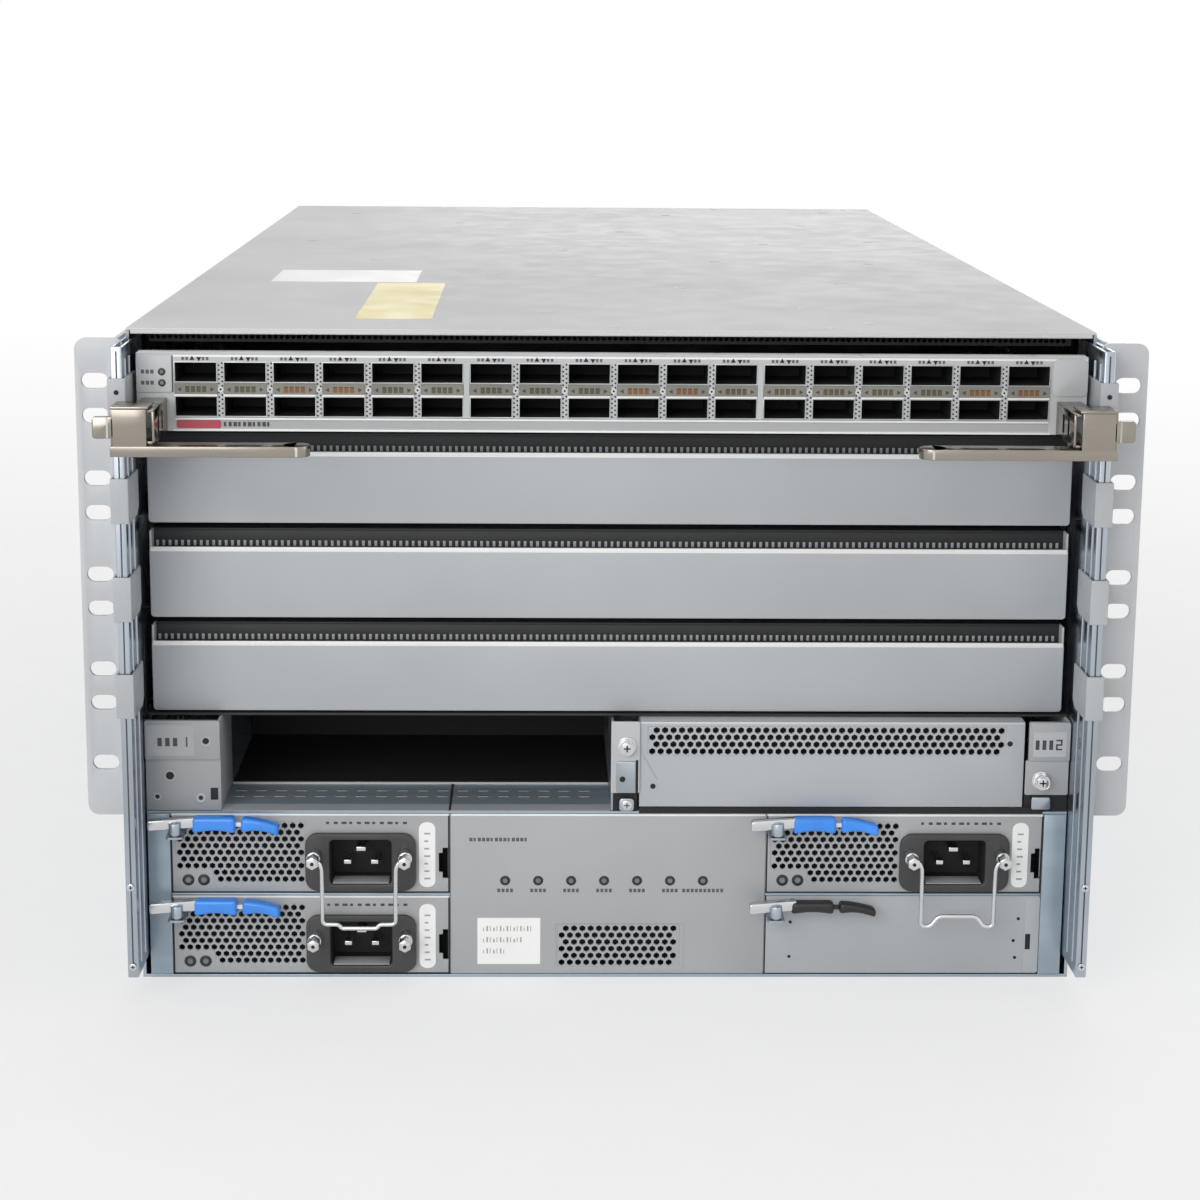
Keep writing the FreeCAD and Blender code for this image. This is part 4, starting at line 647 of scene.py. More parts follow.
for number_ in (1, 2, 3):
    NODE_FINISH[f"power_supply_{number_}"] = "paint"
    NODE_FINISH[f"power_inlet_{number_}"] = "black"
    NODE_FINISH[f"power_lever_{number_}"] = "grip"
for place_ in ("left", "centre", "right"):
    NODE_FINISH[f"fan_tray_{place_}"] = "rear_paint"
    NODE_FINISH[f"tray_handles_{place_}"] = "white"
    for level_ in ("upper", "lower"):
        NODE_FINISH[f"fan_rotor_{place_}_{level_}"] = "rotor"


class FinishNodes(bpy.types.Operator):
    """Make the finishes and give each CAD node its own"""

    bl_idname = "chassis.finish_nodes"
    bl_label = "Finish the CAD nodes"

    def execute(self, context):
        make_finishes()
        for name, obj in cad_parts.items():
            finish = FINISHES[NODE_FINISH[name]]
            for slot_ in obj.material_slots:
                slot_.material = finish
            if not obj.material_slots:
                obj.data.materials.append(finish)
        return {"FINISHED"}


# ---------------------------------------------------------------- stage

CAMERA_PLACE = Vector((-33.0, -1050.0, 441.5)) * MM
CAMERA_PITCH = math.radians(10.36)
CAMERA_YAW = math.radians(1.14)
CAMERA_ROLL = math.radians(0.45)


def area_lamp(name, place, aim, size, energy):
    fresh()
    bpy.ops.object.light_add(type="AREA", location=place)
    lamp = bpy.context.object
    lamp.name = name
    lamp.data.shape = "RECTANGLE"
    lamp.data.size, lamp.data.size_y = size
    lamp.data.energy = energy
    lamp.rotation_euler = (Vector(aim) - Vector(place)).to_track_quat("-Z", "Y").to_euler()


class BuildStage(bpy.types.Operator):
    """Add the pale floor, the soft lamps and the camera"""

    bl_idname = "chassis.stage"
    bl_label = "Stage"

    def execute(self, context):
        fresh()
        bpy.ops.mesh.primitive_plane_add(size=14, location=(0, 0, 0))
        floor = bpy.context.object
        floor.name = "studio_floor"
        paint(floor, "floor")
        self.add_world(context.scene)
        area_lamp("key_lamp", (-0.9, -2.2, 1.0), (0, -0.4, 0.15), (1.8, 1.4), 27)
        area_lamp("top_lamp", (0.2, 0.2, 2.4), (0, 0, 0.2), (2.4, 2.4), 6)
        area_lamp("side_lamp", (2.2, -0.9, 1.0), (0, 0, 0.15), (1.2, 1.6), 7)
        area_lamp("rear_lamp", (0.5, 2.6, 1.0), (0, 0.3, 0.15), (1.8, 1.4), 25)
        self.add_camera(context.scene)
        context.scene.view_settings.view_transform = "Standard"
        return {"FINISHED"}

    def add_world(self, scene):
        """Soft grey light all round, seen as white by the camera and by gloss."""
        world = bpy.data.worlds.new("studio")
        scene.world = world
        world.use_nodes = True
        nodes, links = world.node_tree.nodes, world.node_tree.links
        soft = nodes["Background"]
        soft.inputs["Color"].default_value = (1, 1, 1, 1)
        soft.inputs["Strength"].default_value = 0.44
        white = nodes.new("ShaderNodeBackground")
        white.inputs["Color"].default_value = (1, 1, 1, 1)
        white.inputs["Strength"].default_value = 1.0
        mix = nodes.new("ShaderNodeMixShader")
        links.new(seen_rays(nodes, links), mix.inputs["Fac"])
        links.new(soft.outputs["Background"], mix.inputs[1])
        links.new(white.outputs["Background"], mix.inputs[2])
        links.new(mix.outputs["Shader"], nodes["World Output"].inputs["Surface"])

    def add_camera(self, scene):
        fresh()
        bpy.ops.object.camera_add()
        camera = bpy.context.object
        camera.name = "camera"
        sin, cos = math.sin, math.cos
        ahead = Vector((sin(CAMERA_YAW) * cos(CAMERA_PITCH), cos(CAMERA_YAW) * cos(CAMERA_PITCH),
                        -sin(CAMERA_PITCH)))
        right = Vector((cos(CAMERA_YAW), -sin(CAMERA_YAW), 0))
        above = right.cross(ahead)
        rolled = cos(CAMERA_ROLL) * right + sin(CAMERA_ROLL) * above
        top = -sin(CAMERA_ROLL) * right + cos(CAMERA_ROLL) * above
        turn = Matrix((rolled, top, -ahead)).transposed().to_4x4()
        place = CAMERA_PLACE + Vector((0, WALL_FRONT, 0))
        camera.matrix_world = Matrix.Translation(place) @ turn
        camera.data.sensor_width = 36.0
        camera.data.lens = 70.0
        camera.data.shift_x = 0.012
        camera.data.shift_y = -0.115
        scene.camera = camera


# ---------------------------------------------------------------- shared fittings


def at(x, y, z):
    """A point in metres from millimetres: X from the middle, Y from the front edge, Z from the base."""
    return Vector((x * MM, WALL_FRONT + y * MM, z * MM))


def slab(name, x, y, z, bevel=0.0, segments=2):
    """A block given by its ranges in millimetres."""
    return block(name, at(x[0], y[0], z[0]), at(x[1], y[1], z[1]), bevel * MM, segments)


def tablet(name, x, y, z, radius, segments=4, bevel=0.0):
    """A plate facing the front or rear with round corners, given by its ranges in millimetres."""
    return rounded(name, at(x[0], y[0], z[0]), at(x[1], y[1], z[1]), radius * MM, "y", segments, bevel * MM)


def walls(name, x, y, z, gauge, bevel, finish, decks=True):
    """The side walls of a sheet box, and its floor and roof."""
    (x0, x1), (z0, z1) = x, z
    made = [slab(name, span, y, z, bevel) for span in ((x0, x0 + gauge), (x1 - gauge, x1))]
    if decks:
        made += [slab(name, x, y, span, bevel) for span in ((z0, z0 + gauge), (z1 - gauge, z1))]
    return paint_all(finish, *made)


def triangle(x, y, z, radius, turn, finish):
    """A thin triangular mark on the front, turned about Y."""
    fresh()
    bpy.ops.mesh.primitive_cylinder_add(vertices=3, radius=radius * MM, depth=0.1 * MM, location=at(x, y, z),
                                        rotation=(math.pi / 2, turn, 0))
    return paint(settle(bpy.context.object), finish)


def front_plate(name, x, z, y, gauge, windows=(), edge=0.0):
    """A sheet facing the front, all in millimetres."""
    spans = [tuple(value * MM for value in w) for w in windows]
    return plate(name, (x[0] * MM, x[1] * MM), (z[0] * MM, z[1] * MM), WALL_FRONT + y * MM, gauge * MM,
                 spans, edge * MM)


def front_lattice(name, x, z, y, gauge, pitch, hole, anchor=None):
    """A perforated sheet facing the front, its holes in level rows, all in millimetres."""
    return lattice(name, (x[0] * MM, x[1] * MM), (z[0] * MM, z[1] * MM), WALL_FRONT + y * MM, gauge * MM,
                   pitch * MM, hole * MM, True, anchor and (anchor[0] * MM, anchor[1] * MM))


def sleeve(name, x, y, z, gauge):
    """A thin four-sided tube along Y: a box with its ends removed and its walls thickened inward."""
    obj = slab(name, x, y, z)
    only(obj)
    mode("EDIT")
    pick("DESELECT")
    mode("OBJECT")
    for face in obj.data.polygons:
        face.select = abs(face.normal.y) > 0.9
    mode("EDIT")
    bpy.ops.mesh.select_mode(type="FACE")
    bpy.ops.mesh.delete(type="FACE")
    mode("OBJECT")
    return modify(obj, "SOLIDIFY", thickness=gauge * MM, offset=-1.0)


def folded(name, path, span, gauge, bend, across="z"):
    """A bent sheet: a plane for the first leg, its end edge extruded leg by leg, then thickened."""
    points = [at(x, y, 0) if across == "z" else at(0, x, y) for x, y in path]
    lows = [Vector((p.x, p.y, span[0] * MM)) if across == "z" else Vector((span[0] * MM, p.y, p.z))
            for p in points]
    rise = AXIS_STEP["z" if across == "z" else "x"] * (span[1] - span[0]) * MM
    fresh()
    bpy.ops.mesh.primitive_plane_add(size=1)
    obj = bpy.context.object
    obj.name = name
    for vertex, place in zip(obj.data.vertices, (lows[0], lows[1], lows[0] + rise, lows[1] + rise)):
        vertex.co = place
    mode("EDIT")
    for start, end in zip(lows[1:], lows[2:]):
        pick("DESELECT")
        mode("OBJECT")
        for vertex in obj.data.vertices:
            vertex.select = min((vertex.co - start).length, (vertex.co - start - rise).length) < 1e-6
        mode("EDIT")
        bpy.ops.mesh.select_mode(type="VERT")
        bpy.ops.mesh.extrude_region_move(TRANSFORM_OT_translate={"value": end - start})
    pick("SELECT")
    bpy.ops.mesh.normals_make_consistent(inside=False)
    mode("OBJECT")
    modify(obj, "SOLIDIFY", thickness=gauge * MM, offset=0.0)
    return soften(obj, bend * MM, 3)


def knurled_screw(name, x, y, z, radius, height, facing):
    """A captive screw: washer, knurled drum, narrower head with a cross recess."""
    washer = rod(name, at(x, y, z), "y", facing * 0.9 * MM, radius * MM, 32, 0.15 * MM)
    drum = rod(name, at(x, y + facing * 0.9, z), "y", facing * (height - 1.6) * MM, radius * 0.82 * MM, 40)
    only(drum)
    for face in drum.data.polygons:
        face.select = abs(face.normal.y) < 0.5
    mode("EDIT")
    bpy.ops.mesh.select_mode(type="FACE")
    bpy.ops.mesh.inset(thickness=0.09 * MM, depth=-0.12 * MM, use_individual=True)
    mode("OBJECT")
    top = y + facing * (height - 0.7)
    head = rod(name, at(x, top, z), "y", facing * 0.7 * MM, radius * 0.6 * MM, 24, 0.15 * MM)
    end = y + facing * height
    paint_all("steel", washer, drum, head)
    slots = []
    for wide, tall in ((radius * 0.72, 0.7), (0.7, radius * 0.72)):
        slot_ = slab(name, (x - wide / 2, x + wide / 2), sorted((end, end + facing * 0.03)),
                     (z - tall / 2, z + tall / 2))
        slots.append(paint(slot_, "dark"))
    return smooth(join(name, [washer, drum, head] + slots))


def small_screw(name, x, y, z, radius, facing):
    """A low pan head with a cross recess."""
    head = rod(name, at(x, y, z), "y", facing * 0.8 * MM, radius * MM, 24, 0.3 * MM)
    paint(head, "steel")
    marks = []
    end = y + facing * 0.8
    for wide, tall in ((radius * 1.1, 0.45), (0.45, radius * 1.1)):
        mark = slab(name, (x - wide / 2, x + wide / 2), sorted((end, end + facing * 0.03)),
                    (z - tall / 2, z + tall / 2))
        marks.append(paint(mark, "dark"))
    return smooth(join(name, [head] + marks))


def disc(name, x, y, z, radius, facing, finish, sides=16, thick=0.06):
    """A thin round mark standing just off a face."""
    return paint(rod(name, at(x, y, z), "y", facing * thick * MM, radius * MM, sides), finish)


def mark(name, x, z, y, facing, finish, thick=0.08):
    """A thin rectangular field of colour on a face."""
    return paint(slab(name, x, sorted((y, y + facing * thick)), z), finish)


def light_ring(name, x, y, z, radius, facing):
    """An indicator: a thick dark collar round a small pale lens."""
    collar = paint(rod(name, at(x, y, z), "y", facing * 0.3 * MM, radius * MM, 28, 0.12 * MM), "black")
    eye = disc(name, x, y + facing * 0.3, z, radius * 0.48, facing, "pale_lens", 20, 0.05)
    return smooth(join(name, [collar, eye]))


# ---------------------------------------------------------------- chassis front: rails, catches, ears


def mm_box(node):
    """A node's ranges in millimetres: X, Y from the front edge, Z."""
    low, high = corners(node)
    return ((low.x / MM, high.x / MM), ((low.y - WALL_FRONT) / MM, (high.y - WALL_FRONT) / MM),
            (low.z / MM, high.z / MM))


class BuildRails(bpy.types.Operator):
    """Folded side rails with lengthwise beads, foot screws and the wrapped slot catches"""

    bl_idname = "chassis.rails"
    bl_label = "Side rails and catches"

    GAUGE = 1.6
    BEAD = 0.7

    def rail(self, side, word):
        (x0, x1), (y0, y1), (z0, z1) = mm_box(f"side_rail_{word}")
        inner, outer = (x0, x1) if side > 0 else (x1, x0)
        half = self.GAUGE / 2 * side
        path = [(inner + half, y1), (inner + half, y0 + 0.8), (outer - half, y0 + 0.8), (outer - half, y1)]
        sheet = folded(f"rail_sheet_{word}", path, (z0, z1), self.GAUGE, 0.7)
        paint(sheet, "zinc")
        beads = []
        for depth in (6.0, 17.0):
            bead = rod("bead", at(inner, y0 + depth, z0 + 6), "z", (z1 - z0 - 12) * MM, self.BEAD * MM, 12)
            beads.append(paint(bead, "zinc"))
        groove = slab("groove", sorted((inner + side * 2.4, inner + side * 3.0)), (y0 - 0.02, y0 + 0.3),
                      (z0 + 4, z1 - 2))
        beads.append(paint(groove, "ink"))
        screws = [small_screw("rail_screw", (x0 + x1) / 2, y0, z, 1.7, FRONT) for z in (z0 + 5.5, z0 + 44)]
        return smooth(join(f"side_rail_{word}_dressed", [sheet] + beads + screws))

    def catch(self, side, word, number):
        """A wrapped sheet beside a slot; the top pair has a hole."""
        (cx0, cx1), (cy0, cy1), (cz0, cz1) = mm_box("slot_catches")
        (rx0, rx1), _, _ = mm_box(f"side_rail_{word}")
        pitch = (mm_box("slot_blank_2")[2][0] - mm_box("slot_blank_3")[2][0])
        tall = cz1 - cz0 - 3 * pitch
        low = cz0 + (4 - number) * pitch
        outer = (cx1 if side > 0 else cx0) - side * 0.8
        inner = (rx0 if side > 0 else rx1) - side * 0.8
        front = cy0 + 0.8
        path = [(inner, cy1), (inner, front), (outer, front), (outer, cy1 - 7)]
        sheet = folded("catch_sheet", path, (low, low + tall), 1.5, 0.6)
        corner = slab("corner", (inner - 2, inner + 2), (cy1 - 5.5, cy1 + 3), (low - 5, low + 2.5))
        turned = Matrix.Rotation(math.radians(40), 4, "X")
        pivot = Matrix.Translation(at(inner, cy1 - 1, low))
        corner.data.transform(pivot @ turned @ pivot.inverted())
        carve(sheet, [corner])
        paint(sheet, "blank")
        if number > 1:
            return smooth(sheet)
        hole = disc("catch_hole", (inner + outer) / 2, front - 0.8, low + tall * 0.7, 1.1, FRONT, "dark")
        return smooth(join("catch_pierced", [sheet, hole]))

    def execute(self, context):
        catches = []
        for side, word in ((-1, "left"), (1, "right")):
            done(self.rail(side, word), "chassis", "shell_zinc", f"side_rail_{word}")
            catches += [self.catch(side, word, number) for number in (1, 2, 3, 4)]
        done(join("slot_catch_set", catches), "chassis", "panel_paint", "slot_catches")
        return {"FINISHED"}


class BuildEars(bpy.types.Operator):
    """Rack ears: folded plates with obround slots"""

    bl_idname = "chassis.ears"
    bl_label = "Rack ears"

    LEVELS = (1, 1, 2, 2, 3, 3, 4, 4, 5)

    def execute(self, context):
        (x0, x1), (y0, y1), (z0, z1) = mm_box("rack_ear_right")
        sheet = tablet("ear", (x0 - 3, x1), (y0, y0 + 2), (z0, z1), 5.0, 5)
        flange = slab("ear_flange", (x0 + 0.01, x0 + 2), (y0 + 1, y1), (z0 + 0.2, z1 - 0.2), 0.5)
        cutters = []
        for index, unit in enumerate(self.LEVELS):
            level = 310.0 - (unit - 0.5) * 44.45 - (15.875 if index % 2 else 0)
            cutters.append(tablet("slot", (226.5, 238.5), (y0 - 3, y0 + 5), (level - 3.5, level + 3.5), 3.49, 6))
        carve(sheet, cutters)
        soften(sheet, 0.25 * MM, 2)
        right = smooth(paint(join("rack_ear_right_dressed", [sheet, flange]), "ear_paint"))
        left = copy_to(right, (0, 0, 0), "rack_ear_left_dressed")
        left.data.transform(Matrix.Scale(-1, 4, (1, 0, 0)))
        left.data.flip_normals()
        for word, ear in (("left", left), ("right", right)):
            done(ear, "chassis", "panel_paint", f"rack_ear_{word}")
        return {"FINISHED"}


# ---------------------------------------------------------------- top cover


class BuildCover(bpy.types.Operator):
    """The cover with its rolled front lip, label fields, dimples and the perforated air gap below it"""

    bl_idname = "chassis.cover"
    bl_label = "Top cover"

    PROUD = 0.3
    DIMPLES = ((-60, 250), (40, 180), (95, 90), (130, 210), (160, 320), (70, 330), (-20, 400), (110, 450),
               (180, 470), (-130, 330), (-180, 460), (20, 540), (150, 600), (-90, 610), (60, 690),
               (-170, 690), (180, 720), (120, 30), (-30, 70), (185, 120), (0, 260), (-150, 120))

    def execute(self, context):
        (x0, x1), (y0, y1), (z0, z1) = mm_box("top_cover")
        gauge = 1.5 - self.PROUD
        top = z1 - self.PROUD
        sheet = slab("cover_sheet", (x0, x1), (y0, y1), (top - gauge, top), 0.5, 3)
        lip = slab("cover_lip", (x0 + 2, x1 - 2), (y0, y0 + 1.5), (top - gauge - 1.5, top - gauge + 0.3), 0.3)
        header = slab("cover_header", (-190.5, 190.5), (y1 - 1.5, y1), (z0, top - gauge), 0.3)
        pieces = paint_all("cover", sheet, lip, header)
        for x, y in self.DIMPLES:
            dome = rod("dimple", at(x, y, top - 0.05), "z", self.PROUD * MM, 3.2 * MM, 20, 0.14 * MM)
            pieces.append(paint(dome, "cover"))
        for x in (-200, -100, 0, 100, 200):
            for y in (12, y1 - 12):
                head = rod("cover_rivet", at(x, y, top - 0.05), "z", 0.3 * MM, 2.4 * MM, 20, 0.12 * MM)
                pieces.append(paint(head, "cover"))
        pieces += self.labels(top)
        done(smooth(join("top_cover_dressed", pieces)), "chassis", "cover_paint", "top_cover")
        # the recessed air gap screen takes the near-black screen finish: painted shade
        screen = front_lattice("air_gap_screen", (-213, 213), (301.5, 308.4), 20, 0.8, 2.7, 2.0)
        done(paint(screen, "screen"), "chassis", "panel_paint")
        return {"FINISHED"}

    def labels(self, top):
        """A pale yellow field and a white field."""
        yellow = slab("label_yellow", (-120, -84), (39, 198), (top - 0.02, top + 0.1))
        white = slab("label_white", (-178, -100), (204, 266), (top - 0.02, top + 0.1))
        return [paint(yellow, "yellow"), paint(white, "label")]


# ---------------------------------------------------------------- slot blanks


class BuildBlanks(bpy.types.Operator):
    """Folded slot blanks: a brow painted white as a highlight over a plain face, and behind it a ledge, a toothed
    strip and a roof painted near black as shade
    """

    bl_idname = "chassis.blanks"
    bl_label = "Slot blanks"

    FACE = 34.7
    STEP = 7.5

    def execute(self, context):
        (x0, x1), (y0, y1), (z0, z1) = mm_box("slot_blank_4")
        pitch = mm_box("slot_blank_3")[2][0] - z0
        face_top = z0 + self.FACE - 1.2
        face = tablet("blank_face", (x0, x1), (y0, y0 + 1.5), (z0, face_top), 1.6, 3, 0.4)
        brow = slab("blank_brow_highlight", (x0 + 0.4, x1 - 0.4), (y0 - 0.15, y0 + 1.4), (face_top - 2.3, face_top), 0.4)
        ledge = slab("blank_ledge_shade", (x0 + 1, x1 - 1), (y0 + 1, y0 + self.STEP), (face_top - 2.2, face_top - 1.2), 0.2)
        strip = slab("blank_strip_shade", (x0 + 1, x1 - 1), (y0 + self.STEP, y0 + self.STEP + 0.8),
                     (face_top - 1.5, z1 - 1), 0.2)
        tooth = slab("blank_tooth", (x0 + 2, x0 + 3.3), (y0 + self.STEP - 0.3, y0 + self.STEP + 0.1),
                     (face_top - 1.0, face_top + 1.6), 0.15)
        repeat(tooth, 146, (2.9, 0, 0))
        roof = slab("blank_roof_shade", (x0, x1), (y0 + self.STEP, y1), (z1 - 1, z1), 0.25)
        foot = slab("blank_foot", (x0, x1), (y0 + 1, y1), (z0 + 3, z0 + 4), 0.25)
        ends = [slab("blank_end", span, (y0 + 1, y1), (z0 + 3, z1), 0.25)
                for span in ((x0, x0 + 1), (x1 - 1, x1))]
        paint_all("blank", face, foot, *ends)
        # the white brow is a painted highlight; the ledge, strip and roof are painted shade
        for piece, finish in ((brow, "white"), (ledge, "screen"), (tooth, "paint"), (strip, "recess"),
                              (roof, "recess")):
            paint(piece, finish)
        first = smooth(join("slot_blank_4_dressed", [face, brow, ledge, tooth, strip, roof, foot, *ends]))
        made = {4: first}
        for number in (3, 2):
            rise = Vector((0, 0, (4 - number) * pitch * MM))
            made[number] = copy_to(first, rise, f"slot_blank_{number}_dressed")
        for number, obj in made.items():
            done(obj, f"blank_{number}", "panel_paint", f"slot_blank_{number}")
        return {"FINISHED"}


# ---------------------------------------------------------------- line card


class BuildLineCard(bpy.types.Operator):
    """The card's faceplate, port frames, light strips, vents, end tiles and tray"""

    bl_idname = "chassis.line_card"
    bl_label = "Line card"

    COLUMNS = 18
    PITCH = 22.0
    PORT = (18.4, 8.6)
    ROW = 15.5

    def column_x(self, column):
        return (column - (self.COLUMNS - 1) / 2) * self.PITCH

    def execute(self, context):
        (x0, x1), _, (_, top) = mm_box("card_end_tiles")
        (_, _), (tile_y, face_y), _ = mm_box("card_end_tiles")
        (_, _), (_, card_end), (_, _) = mm_box("line_card_tray")
        card_top = top + 1.0
        card_low = card_top - 35.5
        low_port = card_low + 6.9
        self.tray(x0, x1, face_y, card_end, card_low, card_top, low_port)
        self.ports(face_y, low_port)
        self.strips(face_y, low_port)
        self.vents(face_y, card_top, low_port)
        self.tiles(x0, x1, face_y, tile_y, card_top)
        return {"FINISHED"}

    def tray(self, x0, x1, face_y, card_end, low, top, low_port):
        wide, tall = self.PORT
        windows = []
        for column in range(self.COLUMNS):
            x = self.column_x(column)
            for row in (0, 1):
                z = low_port + row * self.ROW
                windows.append((x - wide / 2 - 0.4, x + wide / 2 + 0.4, z - 0.4, z + tall + 0.4))
        face = front_plate("card_face", (x0, x1), (low, top - 0.2), face_y, 1.4, windows)
        # the brow is painted white: a painted highlight along the card's top edge
        brow = folded("card_brow", [(face_y + 0.5, top - 2.2), (face_y + 0.5, top - 0.6),
                                    (face_y + 8, top - 0.6)], (x0, x1), 1.2, 0.55, "x")
        lip = slab("card_lip", (x0 + 16, x1 - 16), (face_y - 0.5, face_y + 0.2), (low, low + 1.0), 0.25)
        shelf = slab("card_shelf", (x0 + 17, x1 - 17), (face_y - 1.0, face_y + 0.2),
                     (low_port - 1.7, low_port - 0.8), 0.3)
        for piece, finish in ((face, "light_paint"), (brow, "white"), (lip, "white"), (shelf, "white")):
            paint(piece, finish)
        pan = [slab("card_pan", (x0, x1), (face_y + 1.4, card_end), (low, low + 1.5), 0.3)]
        pan += [slab("card_rail", span, (face_y + 1.4, card_end), (low, low + 16), 0.3)
                for span in ((x0, x0 + 1.5), (x1 - 1.5, x1))]
        paint_all("zinc", *pan)
        band = mark("card_band", (x0 + 20, x1 - 17), (low + 1.4, low + 5.0), face_y, FRONT, "paint", 0.1)
        red = tablet("card_red", (x0 + 17.5, x0 + 37.5), (face_y - 0.22, face_y), (low + 1.3, low + 4.9), 0.9, 3)
        paint(red, "red")
        names = []
        for k in range(10):
            x = x0 + 38.6 + k * 2.15
            names.append(mark("card_name", (x, x + 1.1 + (k % 3) * 0.3), (low + 2.2, low + 4.2), face_y - 0.2, FRONT,
                              "ink", 0.03))
        seam = mark("tile_seam", (x0 + 15.95, x0 + 16.4), (top - 18, top - 1), face_y - 0.05, FRONT, "ink", 0.03)
        whole = smooth(join("line_card_face", [face, brow, lip, shelf, *pan, band, red, *names, seam]))
        done(whole, "line_card", "panel_paint", "line_card_tray")

    def ports(self, face_y, low_port):
        """One port frame with a tunnel and end wall painted near black as shade, arrayed over the card."""
        wide, tall = self.PORT
        x = self.column_x(0)
        span_x, span_z = (x - wide / 2, x + wide / 2), (low_port, low_port + tall)
        rim = front_plate("port_rim", (span_x[0] - 0.5, span_x[1] + 0.5), (span_z[0] - 0.5, span_z[1] + 0.5),
                          face_y - 0.45, 0.9, [(*span_x, *span_z)], 0.14)
        paint(rim, "cage")
        tunnel = sleeve("port_tunnel_shade", (span_x[0] - 0.4, span_x[1] + 0.4), (face_y + 0.4, face_y + 30),
                        (span_z[0] - 0.4, span_z[1] + 0.4), 0.4)
        end = slab("port_end_shade", span_x, (face_y + 27, face_y + 28), span_z)
        # tunnel and end wall painted near black: painted shade inside the port
        parts = paint_all("dark", tunnel, end)
        unit = join("port_frames", [rim, *parts])
        repeat(unit, 2, (0, 0, self.ROW))
        repeat(unit, self.COLUMNS, (self.PITCH, 0, 0))
        done(smooth(unit), "line_card", "bright_steel", "port_cages")

    def strips(self, face_y, low_port):
        """A light strip for each column: a lit window for each lane between two arrow marks."""
        wide, tall = self.PORT
        z = (low_port + tall + 0.7, low_port + self.ROW - 0.7)
        middle = sum(z) / 2
        made = []
        for column in range(self.COLUMNS):
            x = self.column_x(column)
            warm = column in (2, 3, 9, 10, 16, 17)
            base = slab("strip", (x - wide / 2 - 0.4, x + wide / 2 + 0.4), (face_y - 0.7, face_y - 0.05), z, 0.2)
            made.append(paint(base, "strip"))
            rim = slab("strip_rim", (x - wide / 2 - 0.4, x + wide / 2 + 0.4), (face_y - 1.0, face_y - 0.3),
                       (z[0] - 0.2, z[0] + 0.6), 0.2)
            made.append(paint(rim, "white"))
            if column % 6 < 5:
                made += self.diamond(x + self.PITCH / 2, face_y - 0.05, middle)
            for lane in range(4):
                centre = x - 3.75 + lane * 2.5
                made.append(mark("lane", (centre - 0.95, centre + 0.95), (middle - 1.25, middle + 1.25),
                                 face_y - 0.7, FRONT, "window_warm" if warm else "window", 0.06))
                made.append(mark("lane_top", (centre - 0.95, centre + 0.95), (middle + 0.95, middle + 1.45),
                                 face_y - 0.75, FRONT, "ink", 0.03))
            for sign in (-1, 1):
                made.append(triangle(x + sign * 7.1, face_y - 0.72, middle, 1.2, sign * math.pi / 2, "ink"))
        done(join("port_light_strips", made), "line_card", "light_strip", "port_light_bars")

    def diamond(self, x, y, z):
        """A pale square on its corner with a dark centre, between two light strips."""
        shape = rod("diamond", at(x, y, z), "y", -0.3 * MM, 1.75 * MM, 4)
        return [paint(shape, "cover"), disc("diamond_eye", x, y - 0.3, z, 0.5, FRONT, "dark", 8)]

    def vents(self, face_y, top, low_port):
        """Two rows of small vent holes between columns, plain bars between groups, and arrow marks above."""
        tall = self.PORT[1]
        made = []
        # each vent hole is a near-black dot: painted shade
        dot = disc("vent_shade_dot", 0, face_y - 0.02, low_port + 0.3, 0.46, FRONT, "dark", 8, 0.05)
        repeat(dot, 12, (0, 0, 2.05))
        pair = join("vent_pair", [copy_to(dot, (-0.72 * MM, 0, 0), "a"), copy_to(dot, (0.72 * MM, 0, 1.0 * MM), "b")])
        for column in range(self.COLUMNS - 1):
            x = self.column_x(column) + self.PITCH / 2
            if column % 6 == 5:
                bar = slab("group_bar", (x - 1.3, x + 1.3), (face_y - 0.5, face_y + 0.1),
                           (low_port - 0.6, low_port + self.ROW + tall + 0.6), 0.2)
                made.append(paint(bar, "light_paint"))
            else:
                made.append(copy_to(pair, (x * MM, 0, 0), "vent"))
        bpy.data.objects.remove(pair, do_unlink=True)
        bpy.data.objects.remove(dot, do_unlink=True)
        marks = []
        for step in (-6.2, -4.4, 2.9, 4.7):
            x = self.column_x(0) + step
            marks.append(mark("port_number", (x, x + 1.1), (top - 3.4, top - 2.0), face_y - 0.05, FRONT,
                              "ink_soft", 0.05))
        for step, turn in ((-1.5, 0), (1.5, math.pi)):
            marks.append(triangle(self.column_x(0) + step, face_y - 0.1, top - 2.7, 1.3, turn, "dark"))
        row = join("brow_marks", marks)
        repeat(row, self.COLUMNS, (self.PITCH, 0, 0))
        made.append(row)
        done(join("card_vents", made), "line_card", "panel_paint")

    def tiles(self, x0, x1, face_y, tile_y, top):
        """A tile with two indicators at the left end, a bare tile at the right end."""
        z = (top - 18, top - 1)
        left = tablet("tile", (x0, x0 + 15.9), (tile_y, face_y), (z[0], z[1]), 1.0, 3, 0.25)
        right = tablet("tile", (x1 - 15.9, x1), (tile_y, face_y), (z[0], z[1]), 2.4, 4, 0.25)
        pieces = paint_all("light_paint", left, right)
        for drop in (8.6, 13.6):
            pieces.append(light_ring("tile_light", x0 + 11.5, tile_y, top - drop, 1.7, FRONT))
            for k in range(3):
                x = x0 + 2.2 + k * 2.1
                pieces.append(mark("tile_name", (x, x + 1.5), (top - drop - 0.9, top - drop + 0.9), tile_y, FRONT,
                                   "ink_soft", 0.03))
        done(smooth(join("end_tiles", pieces)), "line_card", "panel_paint", "card_end_tiles")


